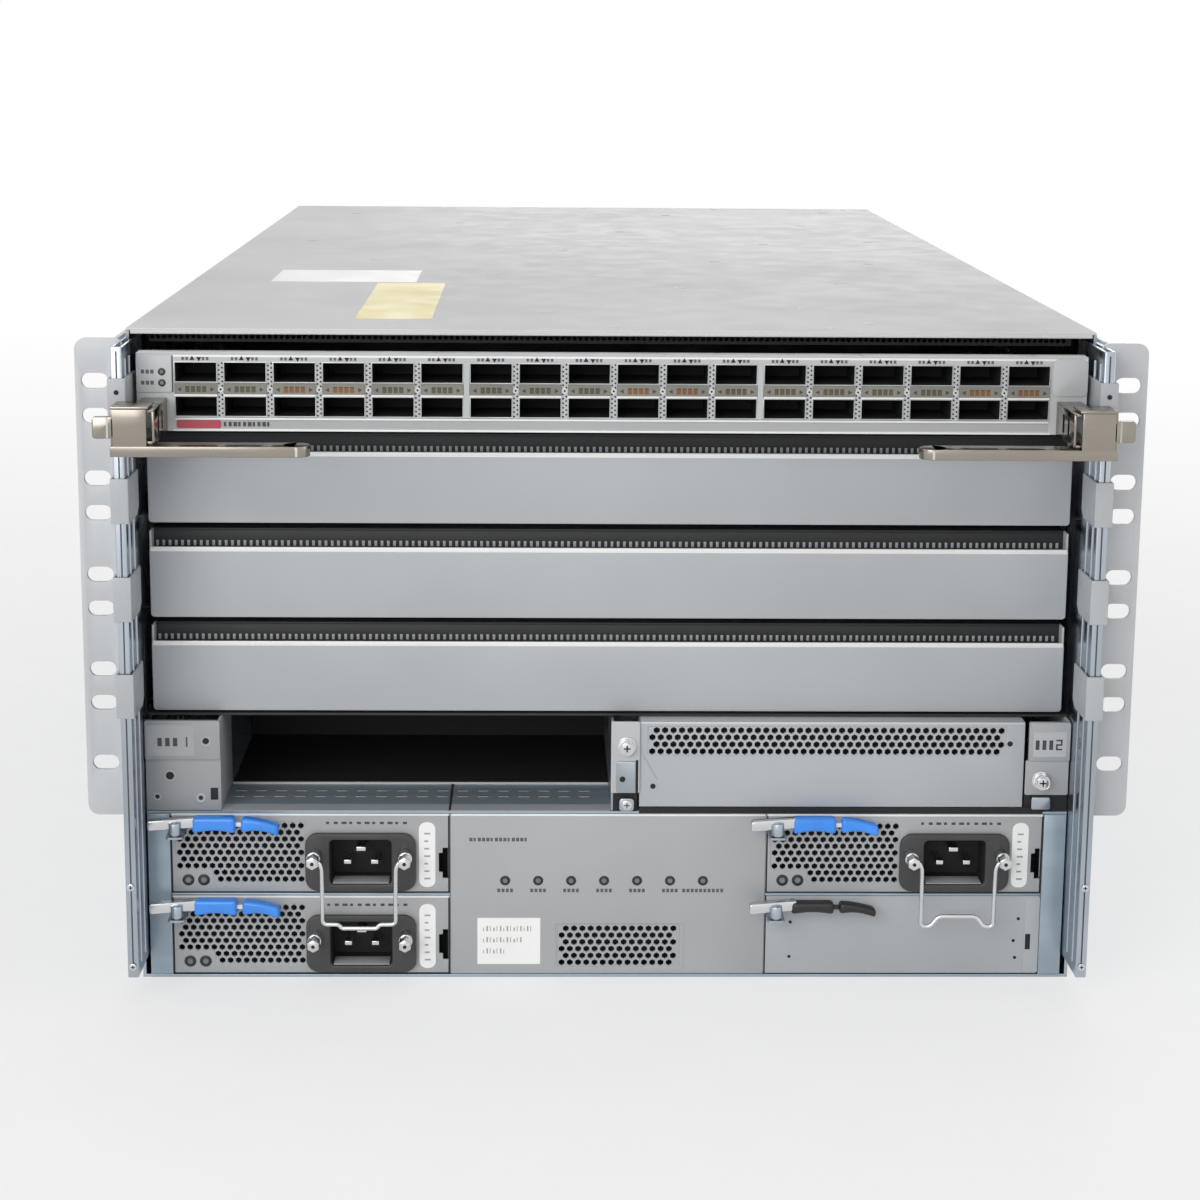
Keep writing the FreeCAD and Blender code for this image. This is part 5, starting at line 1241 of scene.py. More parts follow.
class BuildEjectors(bpy.types.Operator):
    """The card's nickel ejectors: a slotted bracket with a rivet, and a flat arm with an upright"""

    bl_idname = "chassis.ejectors"
    bl_label = "Ejector levers"

    def execute(self, context):
        _, (_, face_y), (_, tile_top) = mm_box("card_end_tiles")
        low = tile_top + 1.0 - 35.5
        for side, word in ((-1, "left"), (1, "right")):
            self.bracket(side, word, face_y, low)
            self.lever(side, word, low)
        return {"FINISHED"}

    def bracket(self, side, word, face_y, low):
        front = face_y - 36
        inner, outer, pivot = 200.0, 211.0, 207.5
        roof = low + 15.2
        cheek = slab("cheek", sorted((side * inner, side * (inner + 1.4))), (front, face_y), (low, roof), 0.4)
        cutters = []
        for y in (front + 9, front + 19):
            cutters.append(slab("cheek_slot", sorted((side * (inner - 2), side * (inner + 4))), (y, y + 3.4),
                                (low + 3.5, roof - 3.5)))
        carve(cheek, cutters)
        top = slab("roof", sorted((side * inner, side * outer)), (front, face_y), (roof - 1.2, roof), 0.4)
        sole = slab("sole", sorted((side * inner, side * outer)), (front, face_y), (low, low + 1.4), 0.4)
        pin = rod("pin", at(side * pivot, -47.5, low - 5.3), "z", 5.6 * MM, 2.4 * MM, 24)
        head = rod("rivet", at(side * pivot, -47.5, roof), "z", 0.5 * MM, 2.9 * MM, 24, 0.2 * MM)
        whole = paint(join(f"ejector_bracket_{word}", [cheek, top, sole, pin, head]), "nickel")
        done(smooth(whole), "line_card", "nickel")

    def lever(self, side, word, low):
        (x0, x1), (y0, y1), (z0, _) = mm_box(f"ejector_lever_{word}")
        pivot, middle = side * 207.5, (y0 + y1) / 2
        tip = (x0 if side > 0 else x1) + side * 6.0
        bottom, top = z0, low - 0.3
        bar = slab("arm", sorted((tip, side * 219.0)), (y0, y1), (bottom, top))
        end = rod("tip", at(tip, middle, bottom), "z", (top - bottom) * MM, 6.0 * MM, 32)
        arm = join("arm", [bar, end])
        heel = slab("heel_cut", sorted((side * 213, side * 225)), (y1 - 5, y1 + 4), (bottom - 1, top + 1))
        pivot_hole = rod("hole", at(pivot, middle, bottom - 1), "z", 8 * MM, 2.58 * MM, 24)
        carve(arm, [heel, pivot_hole])
        soften(arm, 0.45 * MM, 3)
        band = slab("tip_band", sorted((tip - side * 1.0, tip)), (y0 - 0.05, y0 + 0.4),
                    (bottom + 0.4, top - 0.4), 0.1)
        paint(band, "cover")
        near, far = 203.0, 218.5
        plate_ = slab("upright", sorted((side * near, side * far)), (y0, y0 + 1.5), (top - 0.4, low + 16), 0.5, 3)
        roof = slab("lever_roof", sorted((side * 202.0, side * far)), (y0, y0 + 16.5), (low + 15.9, low + 17.0), 0.4)
        side_wall = slab("lever_side", sorted((side * (far - 1.4), side * far)), (y0, y0 + 7),
                         (top - 0.4, low + 16), 0.5)
        tab_x = sorted((side * (far - 1.5), x0 if side < 0 else x1))
        tab = tablet("tab", (tab_x[0], tab_x[1]), (y0, y0 + 4), (low + 3, low + 12.5), 1.4, 4, 0.5)
        groove = slab("tab_groove", sorted((side * 219.5, side * 220.3)), (y0 - 0.03, y0 + 0.5),
                      (low + 3.2, low + 12.3))
        paint_all("nickel", arm, plate_, roof, side_wall, tab)
        paint(groove, "cage")
        whole = smooth(join(f"ejector_{word}_dressed", [arm, band, plate_, roof, side_wall, tab, groove]))
        done(whole, f"ejector_{word}", "nickel", f"ejector_lever_{word}")


# ---------------------------------------------------------------- supervisor row

SEGMENTS = {
    "1": ((0.5, 0, 0.5, 1),),
    "2": ((0, 1, 1, 1), (1, 0.5, 1, 1), (0, 0.5, 1, 0.5), (0, 0, 0, 0.5), (0, 0, 1, 0)),
    "3": ((0, 1, 1, 1), (1, 0, 1, 1), (0, 0.5, 1, 0.5), (0, 0, 1, 0)),
}


def numeral(digit, x, y, z, tall, facing):
    """A plain number made of straight strokes; x and z are its lower left corner seen from outside."""
    wide, stroke = tall * 0.5, tall * 0.17
    strokes = []
    for u0, v0, u1, v1 in SEGMENTS[digit]:
        u0, u1 = (x + facing_sign(facing) * wide * u for u in (u0, u1))
        span_x = (min(u0, u1) - stroke / 2, max(u0, u1) + stroke / 2)
        span_z = (z + tall * v0 - stroke / 2, z + tall * v1 + stroke / 2)
        strokes.append(mark("stroke", span_x, span_z, y, facing, "ink"))
    return join(f"number_{digit}", strokes)


def facing_sign(facing):
    """Which way X runs to the right for someone looking at the face."""
    return 1 if facing == FRONT else -1


class BuildSupervisorRow(bpy.types.Operator):
    """The supervisor row: cheeks with label tiles, the empty bay's slotted floor, the divider and the blank"""

    bl_idname = "chassis.supervisor_row"
    bl_label = "Supervisor row"

    TILE = 107.8
    SCREW = (4.4, 9.0)

    def execute(self, context):
        self.left_cheek()
        self.divider()
        self.right_cheek()
        self.bay_floor()
        self.blank()
        return {"FINISHED"}

    def left_cheek(self):
        (x0, x1), (y0, y1), (z0, z1) = mm_box("supervisor_bracket_left")
        base = slab("cheek_plate", (x0, x1), (-0.2, 1.0), (z0, self.TILE), 0.3)
        tile = tablet("cheek_tile", (x0, x1), (y0, 1.0), (self.TILE, z1), 0.8, 3, 0.3)
        label = slab("cheek_label", (x0 + 1, x1 - 12.2), (y0 - 0.08, y0), (self.TILE + 2, z1 - 2))
        wall = slab("cheek_wall", (x1 - 1.2, x1), (1.0, y1), (z0, z1), 0.3)
        # base, tile and wall take the darkened panel paint: painted shade on the left cheek
        for piece, finish in ((base, "shaded_panel_paint"), (tile, "shaded_panel_paint"), (wall, "shaded_panel_paint"), (label, "paint")):
            paint(piece, finish)
        pieces = [base, tile, wall, label, numeral("1", x1 - 16.5, y0 - 0.08, 114.4, 4.2, FRONT)]
        for k in range(3):
            pieces.append(mark("cheek_name", (x1 - 29.0 + k * 3.6, x1 - 27.0 + k * 3.6), (114.4, 118.4), y0 - 0.08,
                               FRONT, "ink"))
        for x, y, z, radius, rim in ((x1 - 6.6, y0, 116.9, 1.5, 0.22), (x1 - 23.8, -0.2, 99.7, 1.9, 0.22),
                                     (x1 - 29.9, -0.2, 89.5, 1.0, 0.2), (x1 - 9.6, -0.2, 88.9, 1.0, 0.45)):
            pieces.append(disc("hole", x, y, z, radius, FRONT, "dark"))
            # a light ring round each hole: painted highlight on its edge
            pieces.append(paint(ring("hole_edge_highlight", at(x, y - 0.05, z), "y", (radius + rim + 0.35) * MM, rim * MM),
                                "light_paint"))
        pieces.append(mark("notch", (x1 - 5.0, x1 - 1.5), (88.0, 93.8), -0.2, FRONT, "dark"))
        done(smooth(join("cheek_left", pieces)), "chassis", "panel_paint", "supervisor_bracket_left")

    def divider(self):
        (x0, x1), (_, y1), (z0, z1) = mm_box("supervisor_bracket_centre")
        front = tablet("divider_plate", (x0, x1 + 1.0), (-1.2, 0.0), (91.8, z1), 0.8, 3, 0.3)
        step = tablet("divider_step", (x0 + 2.6, x1 - 0.9), (-1.9, -0.8), (92.0, 107.4), 0.6, 3, 0.3)
        groove = mark("divider_groove", (x1 - 0.9, x1 + 0.3), (91.8, 108.0), -1.2, FRONT, "dark")
        wall = slab("divider_wall", (x0, x0 + 1.2), (0.0, y1), (z0, z1), 0.3)
        foot = tablet("divider_foot", (x0 + 4.0, x1 - 1.6), (-2.2, 0.5), (z0 + 0.4, z0 + 6.6), 1.6, 4, 0.3)
        for piece, finish in ((front, "light_paint"), (step, "zinc_flat"), (wall, "zinc_flat"), (foot, "zinc")):
            paint(piece, finish)
        # a near-black mark in the gap beside the divider: painted shade
        gap = mark("divider_gap_shade", (x0 + 1.2, x1), (z0, 91.8), 0.6, FRONT, "dark")
        hole = disc("hole", x0 + 5.4, -1.9, 98.8, 1.4, FRONT, "dark")
        screw = knurled_screw("divider_screw", x0 + 7.3, -1.2, 114.8, self.SCREW[0], 4.6, FRONT)
        small = small_screw("divider_foot_screw", x0 + 7.6, -2.2, z0 + 3.5, 2.4, FRONT)
        done(smooth(join("divider_dressed", [front, step, groove, wall, foot, gap, hole, screw, small])), "chassis",
             "shell_zinc", "supervisor_bracket_centre")

    def right_cheek(self):
        (x0, x1), (_, y1), (z0, z1) = mm_box("supervisor_bracket_right")
        base = tablet("cheek_plate", (x0, x1), (-0.2, 1.0), (z0 + 8, self.TILE), 0.8, 3, 0.3)
        tile = tablet("cheek_tile", (x0 + 1, x1), (-1.4, 1.0), (self.TILE, z1), 0.8, 3, 0.3)
        wall = slab("cheek_wall", (x1 - 1.2, x1), (1.0, y1), (z0, z1), 0.3)
        paint_all("paint", base, tile, wall)
        label = paint(slab("cheek_label", (x0 + 3, x1 - 2), (-1.48, -1.4), (110, 122)), "light_paint")
        number = [numeral("2", x0 + 14.0, -1.48, 113.6, 4.4, FRONT)]
        number += [mark("cheek_name", (x0 + 4 + k * 3.2, x0 + 5.8 + k * 3.2), (113.4, 118.0), -1.48, FRONT, "ink")
                   for k in range(3)]
        shadow = mark("cheek_gap", (x0, x1), (z0, z0 + 8), 0.9, FRONT, "dark")
        catch = tablet("cheek_catch", (x0 + 3, x0 + 12), (-2.2, 0.5), (z0 + 1.5, z0 + 7.4), 0.9, 3, 0.3)
        paint(catch, "zinc")
        screw = knurled_screw("cheek_screw", x0 + 7.4, -0.2, 98.3, self.SCREW[0], 5.6, FRONT)
        done(smooth(join("cheek_right", [base, tile, wall, label, *number, shadow, catch, screw])), "chassis",
             "panel_paint", "supervisor_bracket_right")

    def bay_floor(self):
        """The zinc floor just behind the bay's mouth with a lighter front band as painted reflection, its slot dashes
        of painted shade and highlight, and behind it a hollow and back wall painted near black as shade.
        """
        left, right = mm_box("supervisor_bracket_left")[0][1], mm_box("supervisor_bracket_centre")[0][0]
        base = mm_box("supervisor_shelf")[2][1]
        sheet = paint(slab("bay_sheet", (left, right), (-0.4, 40), (base, base + 0.25)), "bay_zinc")
        lip = paint(slab("bay_lip", (left, right), (39.2, 40.2), (base, base + 1.2), 0.2), "light_paint")
        # a lighter band along the floor's front edge: painted reflection
        band = paint(slab("bay_band_reflection", (left, right), (-0.4, 9), (base + 0.2, base + 0.4)), "blank")
        seam = paint(slab("bay_seam", (-75.2, -74.2), (-0.4, 39), (base + 0.3, base + 0.5)), "dark")
        # hollow and back wall painted near black: painted shade behind the floor
        hollow = paint(slab("bay_hollow_shade", (left, right), (40.2, 300), (base, base + 0.4)), "dark")
        back = paint(slab("bay_back_shade", (left, right), (120, 121), (base, base + 43)), "dark")
        # each slot dash: a dark bar of painted shade beside a light bar of painted highlight
        dash = join("floor_slot_shade_highlight", [paint(slab("dash", (left + 3, left + 8), span, (base + 0.25, base + 0.3)), finish)
                               for span, finish in (((21, 22), "ink_soft"), ((20, 20.9), "cover"))])
        repeat(dash, 2, (0, 8.5, 0))
        repeat(dash, 18, (9.7, 0, 0))
        holes = []
        for x in (left + 6.6, left + 9.8):
            eye = rod("floor_hole", at(x, 6, base + 0.25), "z", 0.05 * MM, 0.9 * MM, 12)
            holes.append(paint(eye, "dark"))
        done(join("bay_floor", [sheet, lip, band, seam, hollow, back, dash, *holes]), "chassis", "shell_zinc")

    def blank(self):
        (x0, x1), (y0, y1), (z0, z1) = mm_box("supervisor_blank")
        window = (18.2, 186.4, 109.9, 123.9)
        face = front_plate("sup_face", (x0, x1), (z0, z1), y0, 1.5, [window], 0.3)
        mesh = front_lattice("sup_mesh", window[:2], window[2:], y0 + 0.05, 1.3, 3.95, 2.9, (20.2, 111.8))
        paint_all("blank", face, mesh)
        shade_ = paint(slab("sup_shade", (x0 + 2, x1 - 2), (y0 + 8, y0 + 8.5), (z0 + 1, z1 - 1)), "dark")
        rim = walls("sup_wall", (x0, x1), (y0 + 1, y1), (z0, z1), 1, 0.2, "blank")
        # a light strip along the top edge: painted highlight
        brow = paint(slab("sup_brow_highlight", (x0 + 0.3, x1 - 0.3), (y0 - 0.15, y0 + 0.6), (z1 - 0.9, z1), 0.25), "cover")
        pieces = [face, mesh, shade_, brow, *rim]
        for x, z in ((188.3, 115.8), (x0 + 6.4, 94.8)):
            pieces.append(disc("hole", x, y0, z, 1.3, FRONT, "dark"))
            # a light ring round each hole: painted highlight on its edge
            pieces.append(paint(ring("hole_edge_highlight", at(x, y0 - 0.05, z), "y", 2.0 * MM, 0.2 * MM),
                                "light_paint"))
        # a thin diagonal line of darkened paint: painted shade in the blank's crease
        crease = slab("sup_crease_shade", (x0 + 5.0, x0 + 5.5), (y0 - 0.05, y0), (97, 110.5))
        pivot = Matrix.Translation(at(x0 + 5.2, y0, 103.7))
        crease.data.transform(pivot @ Matrix.Rotation(math.radians(-30), 4, "Y") @ pivot.inverted())
        pieces.append(paint(crease, "shaded_panel_paint"))
        done(smooth(join("supervisor_blank_dressed", pieces)), "sup_blank", "panel_paint", "supervisor_blank")


# ---------------------------------------------------------------- power bay


GRIP_HALF = 4.0
GRIP_TUCK = 4.6
LEVER_X, LEVER_Y, LEVER_Z = 4, -12.0, 35.0


def cam_lever(name, x, y, z, body, node, grip, facing=FRONT):
    """A latch lever: a steel link on its upright zinc hub, and a scalloped two-part grip along X.

    x, y and z give the pin's middle; the grip runs the way someone facing it calls right.
    """
    run = facing_sign(facing)
    (_, _), (y0, y1), (_, high) = mm_box(node)
    face, back = (y0, y1) if facing == FRONT else (y1, y0)
    level = high - GRIP_HALF

    def span(a, b):
        return sorted((x + run * a, x + run * b))

    link = rounded("link", at(span(-12.5, 10)[0], min(face, back) + 1.1, level - 1.2),
                   at(span(-12.5, 10)[1], max(face, back) - 1.1, level + 3.6), 1.0 * MM, "y", 3, 0.5 * MM)
    tuck = GRIP_TUCK if facing == FRONT else 0.0
    for vertex in link.data.vertices:
        if (vertex.co.x / MM - x) * run > 5:
            vertex.co.y += tuck * MM
    face += tuck
    hub = rod("hub", at(x, y, z - 2.4), "z", (level - z + 4.8) * MM, 2.9 * MM, 24, 0.3 * MM)
    paint(link, "steel")
    paint(hub, "zinc")
    slim = 1.0 if grip == "grip" else 0.74
    halves = []
    for start, end, waist, droop in ((7.6, 27.6, GRIP_HALF, 0.0), (30.2, 47.6, 3.7, 2.6)):
        half = grip_part(x, face, level, run, facing, start, end, waist * slim, droop)
        halves.append(paint(half, grip))
    neck = paint(slab("neck", span(26, 31), (y + tuck - 1, y + tuck + 1), (level - 1, level + 1), 0.3),
                 "white" if grip == "grip" else "black")
    slot_name = "blue_grip" if grip == "grip" else "black_plastic"
    done(smooth(join(name, [link, hub, *halves, neck]), 50), body, slot_name, node)


def grip_part(x, face, z, run, facing, start, end, tall, droop):
    """One half of a grip: a bar cut across and reshaped into a waisted, drooping form."""
    low, high = sorted((x + run * start, x + run * end))
    bar = slab("grip", (low, high), sorted((face, face - facing * 6.4)), (z - tall, z + tall))
    only(bar)
    mode("EDIT")
    steps = 8
    for k in range(1, steps):
        pick("SELECT")
        bpy.ops.mesh.bisect(plane_co=at(low + (high - low) * k / steps, face, z), plane_no=(1, 0, 0))
    mode("OBJECT")
    for vertex in bar.data.vertices:
        u = ((vertex.co.x / MM - x) * run - start) / (end - start)
        rise = vertex.co.z / MM - z
        waist = 1.0 - 0.36 * math.sin(math.pi * u) if rise < 0 else 0.97
        taper = 1.0 - 0.25 * u * (droop > 0)
        vertex.co.z = (z + rise * waist * taper - droop * u * u) * MM
    return soften(bar, 1.7 * MM, 4, 50)


def lever_mount(x, face, z, facing, reach):
    """The zinc ear and the upright pin that carry a latch lever."""
    near, far = sorted((face, face + facing * 15))
    ear = rounded("ear", at(x - 4, near, z - 3.8), at(x + 4, far, z - 2.8), 1.5 * MM, "z", 3)
    pin = rod("pin", at(x, face + facing * 12, z - 3.6), "z", reach * MM, 1.6 * MM, 20, 0.2 * MM)
    return paint_all("zinc_flat", ear, pin)


class BuildSupplies(bpy.types.Operator):
    """Power supplies: perforated faces, ring lights, inlets in black bezels, standoffs, labels and levers"""

    bl_idname = "chassis.supplies"
    bl_label = "Power supplies"

    def execute(self, context):
        for number in (1, 2, 3):
            (x0, x1), (_, y1), (z0, z1) = mm_box(f"power_supply_{number}")
            self.case(number, x0, x1, y1, z0, z1)
            self.inlet(number, x0 + 89.1, z0 + 15.5)
            cam_lever(f"latch_{number}_dressed", x0 + LEVER_X, LEVER_Y, z0 + LEVER_Z, f"latch_{number}",
                      f"power_lever_{number}", "grip")
        self.blank()
        for number in (1, 3):
            self.bail(number)
        return {"FINISHED"}

    def bail(self, number):
        """The wire bail over an inlet: two legs from the standoffs and a slightly stepped cross wire."""
        (x0, x1), (y0, y1), (_, z1) = mm_box(f"wire_bail_{number}")
        radius = (y1 - y0) / 2
        middle, centre, top = (y0 + y1) / 2, (x0 + x1) / 2, z1 - radius
        sign, drop, bend = (-1, 1.9, (9.6, 8.2)) if number == 1 else (1, 5.0, (12.4, 9.0))
        low = top - 31.5 + (0.9 if number == 1 else 0)
        step = low + sign * drop
        points = []
        for side, inner in ((-1, 1), (1, -1)):
            half = [(21.0, top), (18.6, top - 0.2), (17.2, top - 3), (17.0, low), (bend[0], low), (bend[1], step)]
            points += [(centre + side * a, b) for a, b in half][::inner]
        shape = wire(f"bail_{number}_dressed", [at(x, middle, z) for x, z in points], radius * MM, 12)
        paint(shape, "steel")
        done(smooth(shape, 60), f"bail_{number}", "bright_steel", f"wire_bail_{number}")

    def case(self, number, x0, x1, y1, z0, z1):
        upper = (x0 + 2.2, x0 + 62.9, z0 + 11.4, z1 - 4.4)
        lower = (x0 + 19.6, x0 + 62.9, z0 + 4.8, z0 + 11.4)
        anchor = ((x0 + 4.1) * MM, (z0 + 13.1) * MM)
        notch = (x1 - 5.2, x1 + 1, z0 + 10, z0 + 19.5)
        cutout = (x1 - 3.4, x1 + 1, z0 + 7, z0 + 22)
        socket = (x0 + 68, x0 + 110, z0 + 4, z0 + 27)
        face = front_plate("supply_face", (x0, x1), (z0, z1), 0, 1.2, [upper, lower, notch, cutout, socket], 0.3)
        settings = mesh_settings()
        meshes = [lattice("supply_mesh", (w[0] * MM, w[1] * MM), (w[2] * MM, w[3] * MM), WALL_FRONT + 0.05 * MM,
                          1.0 * MM, settings.supply_pitch, settings.supply_hole, True, anchor)
                  for w in (upper, lower)]
        back = paint(slab("supply_shade", (x0 + 1, x1 - 1), (14, 15), (z0 + 1, z1 - 1)), "dark")
        body = walls("supply_wall", (x0, x1), (1.2, y1), (z0, z1), 1, 0.3, "zinc_flat")
        paint_all("paint", face, *meshes)
        pieces = [face, *meshes, back, *body]
        # a white strip along the top edge: painted highlight
        brow = slab("supply_brow_highlight", (x0 + 0.5, x1 - 0.5), (-0.3, 0.6), (z1 - 1.1, z1), 0.3)
        pieces.append(paint(brow, "white"))
        for span in ((x0, x0 + 0.7), (x1 - 0.8, x1)):
            pieces.append(mark("supply_seam", span, (z0, z1 - 1), -0.0, FRONT, "dark", 0.04))
        pieces.append(mark("supply_seam", (x0, x1), (z0, z0 + 0.5), 0.0, FRONT, "dark", 0.04))
        for x in (x0 + 7.9, x0 + 15.2):
            pieces.append(light_ring("supply_light", x, 0, z0 + 6.2, 2.8, FRONT))
        label = tablet("supply_label", (x0 + 116.5, x0 + 124.2), (-0.15, 0), (z0 + 2.7, z0 + 34.7), 3.4, 6)
        pieces.append(paint(label, "label"))
        for k in range(7):
            low = z0 + 6.5 + k * 3.7
            pieces.append(mark("label_line", (x0 + 119.0, x0 + 121.8 - (k % 3) * 0.5), (low, low + 0.8), -0.15,
                               FRONT, "label_ink", 0.03))
        for k in range(11):
            x = x0 + 73 + k * 3.6
            pieces.append(mark("rating", (x, x + 1.4 + (k % 3) * 0.5), (z1 - 5.2, z1 - 4.0), 0, FRONT, "ink", 0.03))
        pieces += lever_mount(x0 + LEVER_X, 0, z0 + LEVER_Z, FRONT, 7.4)
        done(smooth(join(f"power_supply_{number}_dressed", pieces)), f"supply_{number}", "panel_paint",
             f"power_supply_{number}")

    def inlet(self, number, x, z):
        """A dark bezel with a deep socket, three flat blades, a pale floor and two steel posts."""
        half_x, half_z = 26.0, 14.2
        bezel = tablet("bezel", (x - half_x, x + half_x), (-2.5, 0), (z - half_z, z + half_z), 6.0, 6)
        mouth = tablet("mouth", (x - 14.6, x + 14.6), (-6, 4), (z - 10.8, z + 11.1), 2.2, 4)
        carve(bezel, [mouth])
        paint(soften(bezel, 0.7 * MM, 3), "bezel")
        # the socket body is painted near black, darker than the black bezel: the socket's black plastic with painted
        # shade inside
        body = slab("socket_body", (x - 17, x + 17), (-0.4, 20), (z - 12.4, z + 12.6))
        hollow = tablet("socket_hollow", (x - 14.4, x + 14.4), (-3, 17), (z - 10.6, z + 10.9), 2.0, 4)
        carve(body, [hollow])
        floor = slab("socket_floor", (x - 13.2, x + 13.2), (-1.6, 8), (z - 10.6, z - 10.2), 0.15)
        pieces = [bezel, paint(body, "dark"), paint(floor, "bezel_sill")]
        for dx, dz, wide in ((0, 5.4, 2.2), (-6.4, -1.0, 1.7), (6.4, -1.0, 1.7)):
            blade = slab("blade", (x + dx - wide, x + dx + wide), (1.5, 17), (z + dz - 1.0, z + dz + 1.0), 0.3)
            pieces.append(paint(blade, "steel"))
        for sign in (-1, 1):
            post = rod("post", at(x + sign * 21.4, -2.5, z + 4.5), "y", -14.0 * MM, 3.1 * MM, 6, 0.3 * MM)
            collar = rod("post_collar", at(x + sign * 21.4, -8.5, z + 4.5), "y", -1.6 * MM, 3.25 * MM, 24, 0.3 * MM)
            end = rod("post_end", at(x + sign * 21.4, -16.4, z + 4.5), "y", -0.6 * MM, 2.3 * MM, 20, 0.2 * MM)
            recess = disc("post_recess", x + sign * 21.4, -17.0, z + 4.5, 0.9, FRONT, "dark")
            pieces += paint_all("steel", post, collar, end) + [recess]
        done(smooth(join(f"inlet_{number}_dressed", pieces), 40), f"supply_{number}", "black_plastic",
             f"power_inlet_{number}")

    def blank(self):
        """The lower right bay's blank with its black lever."""
        (x0, x1), (_, y1), (z0, z1) = mm_box("power_blank")
        face = tablet("filler_face", (x0, x1), (0, 1.4), (z0, z1), 0.9, 3, 0.4)
        step = slab("filler_step", (x1 - 7, x1), (-0.25, 0.2), (z0 + 1, z1 - 1), 0.15)
        body = walls("filler_wall", (x0, x1), (1.2, y1), (z0, z1), 1, 0.3, "blank", False)
        paint_all("blank", face, step)
        body += [disc("filler_hole", x0 + x, 0, z0 + z, 0.8, FRONT, "dark") for x, z in
                 ((12.2, 25.8), (12.0, 8.5), (121, 27.5), (119, 16.5), (120, 8.0))]
        body.append(mark("filler_slot", (x0 + 124.6, x0 + 127.0), (z0 + 12.2, z0 + 19.9), -0.25, FRONT, "dark"))
        body.append(mark("filler_seam", (x0, x0 + 0.6), (z0, z1), 0, FRONT, "dark", 0.04))
        mount = lever_mount(x0 + LEVER_X, 0, z0 + LEVER_Z, FRONT, 7.4)
        done(smooth(join("power_blank_dressed", [face, step, *body, *mount])),
             "filler", "panel_paint", "power_blank")
        cam_lever("filler_lever", x0 + LEVER_X, LEVER_Y, z0 + LEVER_Z, "latch_blank", "power_blank_lever", "black")


class BuildPowerBay(bpy.types.Operator):
    """Indicator panel with seven lights, grille and label, and the zinc bay frame round the supplies"""

    bl_idname = "chassis.power_bay"
    bl_label = "Power bay"

    def execute(self, context):
        (x0, x1), (y0, y1), (z0, z1) = mm_box("indicator_panel")
        window = (-23.8, 34.2, 5.2, 26.0)
        face = front_plate("indicator_face", (x0, x1), (z0, z1), y0, 1.4, [window], 0.45)
        mesh = front_lattice("indicator_mesh", window[:2], window[2:], y0 + 0.2, 1.0, 3.93, 2.8, (-21.7, 7.2))
        shade_ = paint(slab("indicator_shade", (x0 + 2, x1 - 2), (10, 10.5), (z0 + 1, 40)), "dark")
        rim = walls("indicator_wall", (x0, x1), (1, y1), (z0, z1), 1, 0.2, "paint", False)
        roof = slab("indicator_roof", (x0, x1), (0.8, y1), (z1 - 1.2, z1), 0.4)
        paint_all("paint", face, mesh, roof)
        pieces = [face, mesh, shade_, *rim, roof]
        # a white strip along the top edge: painted highlight
        pieces.append(paint(slab("indicator_brow_highlight", (x0 + 0.4, x1 - 0.4), (y0 - 0.3, 0.6), (z1 - 1.1, z1), 0.3),
                            "white"))
        # thin lines of darkened paint along the grille's sides and top: painted shade
        for x, z in (((-24.8, -24.5), (4, 27)), ((36.2, 36.5), (4, 27)), ((-24.8, 36.5), (26.7, 27))):
            pieces.append(mark("grille_edge_shade", x, z, y0, FRONT, "shaded_panel_paint", 0.03))
        label = slab("indicator_label", (-61.7, -31.9), (y0 - 0.12, y0), (6.5, 29.6))
        pieces.append(paint(label, "label"))
        for row, length in ((23.0, 24), (17.4, 20), (11.8, 12)):
            for k in range(int(length / 1.6)):
                x = -59.0 + k * 1.6
                tall = 2.6 if k % 3 else 1.8
                pieces.append(mark("label_bar", (x, x + 0.35 + 0.3 * (k % 2)), (row, row + tall), y0 - 0.12,
                                   FRONT, "label_ink", 0.03))
        lights = []
        for k in range(7):
            x = -48.6 + k * 15.6
            lights.append(light_ring("panel_light", x, y0 + 0.1, 48.2, 2.4, FRONT))
            for step in range(-9 if k == 6 else -3, 10 if k == 6 else 4, 2):
                pieces.append(mark("light_name", (x + step - 0.7, x + step + 0.7), (42.4, 44.2), y0, FRONT,
                                   "ink_soft", 0.03))
        for k in range(14):
            x = -65.5 + k * 2.0
            pieces.append(mark("model_name", (x, x + 1.5 - (k % 4 == 1) * 0.5), (67.6, 69.4), y0, FRONT, "ink_soft",
                               0.03))
        done(smooth(join("indicator_panel_dressed", pieces)), "chassis", "panel_paint", "indicator_panel")
        done(smooth(join("panel_lights_dressed", lights)), "chassis", "dark_lens", "panel_lights")
        self.frame()
        return {"FINISHED"}

    def frame(self):
        """Bright flange edges of the bay: sills, dividers and the side strips beside the supplies."""
        (x0, x1), _, _ = mm_box("power_bay")
        pieces = []
        for span in ((x0, -205.9), (205.9, x1)):
            pieces.append(slab("bay_side", span, (-0.4, 12), (1.5, 81), 0.4))
        for x in (-74.6, 74.55):
            pieces.append(slab("bay_post", (x - 0.12, x + 0.12), (0.3, 30), (1.5, 81), 0.05))
        pieces.append(slab("bay_sill", (x0, x1), (-0.6, 20), (0.2, 1.5), 0.3))
        for span in ((-205.7, -74.7), (74.7, 205.7)):
            pieces.append(slab("bay_shelf", span, (-0.5, 20), (41.0, 42.0), 0.3))
        paint_all("bay_zinc", *pieces)
        # a near-black band between the rows: painted shade
        pieces.append(mark("row_gap_shade", (14.3, 205), (81.6, 84.6), -0.05, FRONT, "dark"))
        done(smooth(join("bay_frame", pieces)), "chassis", "shell_zinc")


# ---------------------------------------------------------------- rear


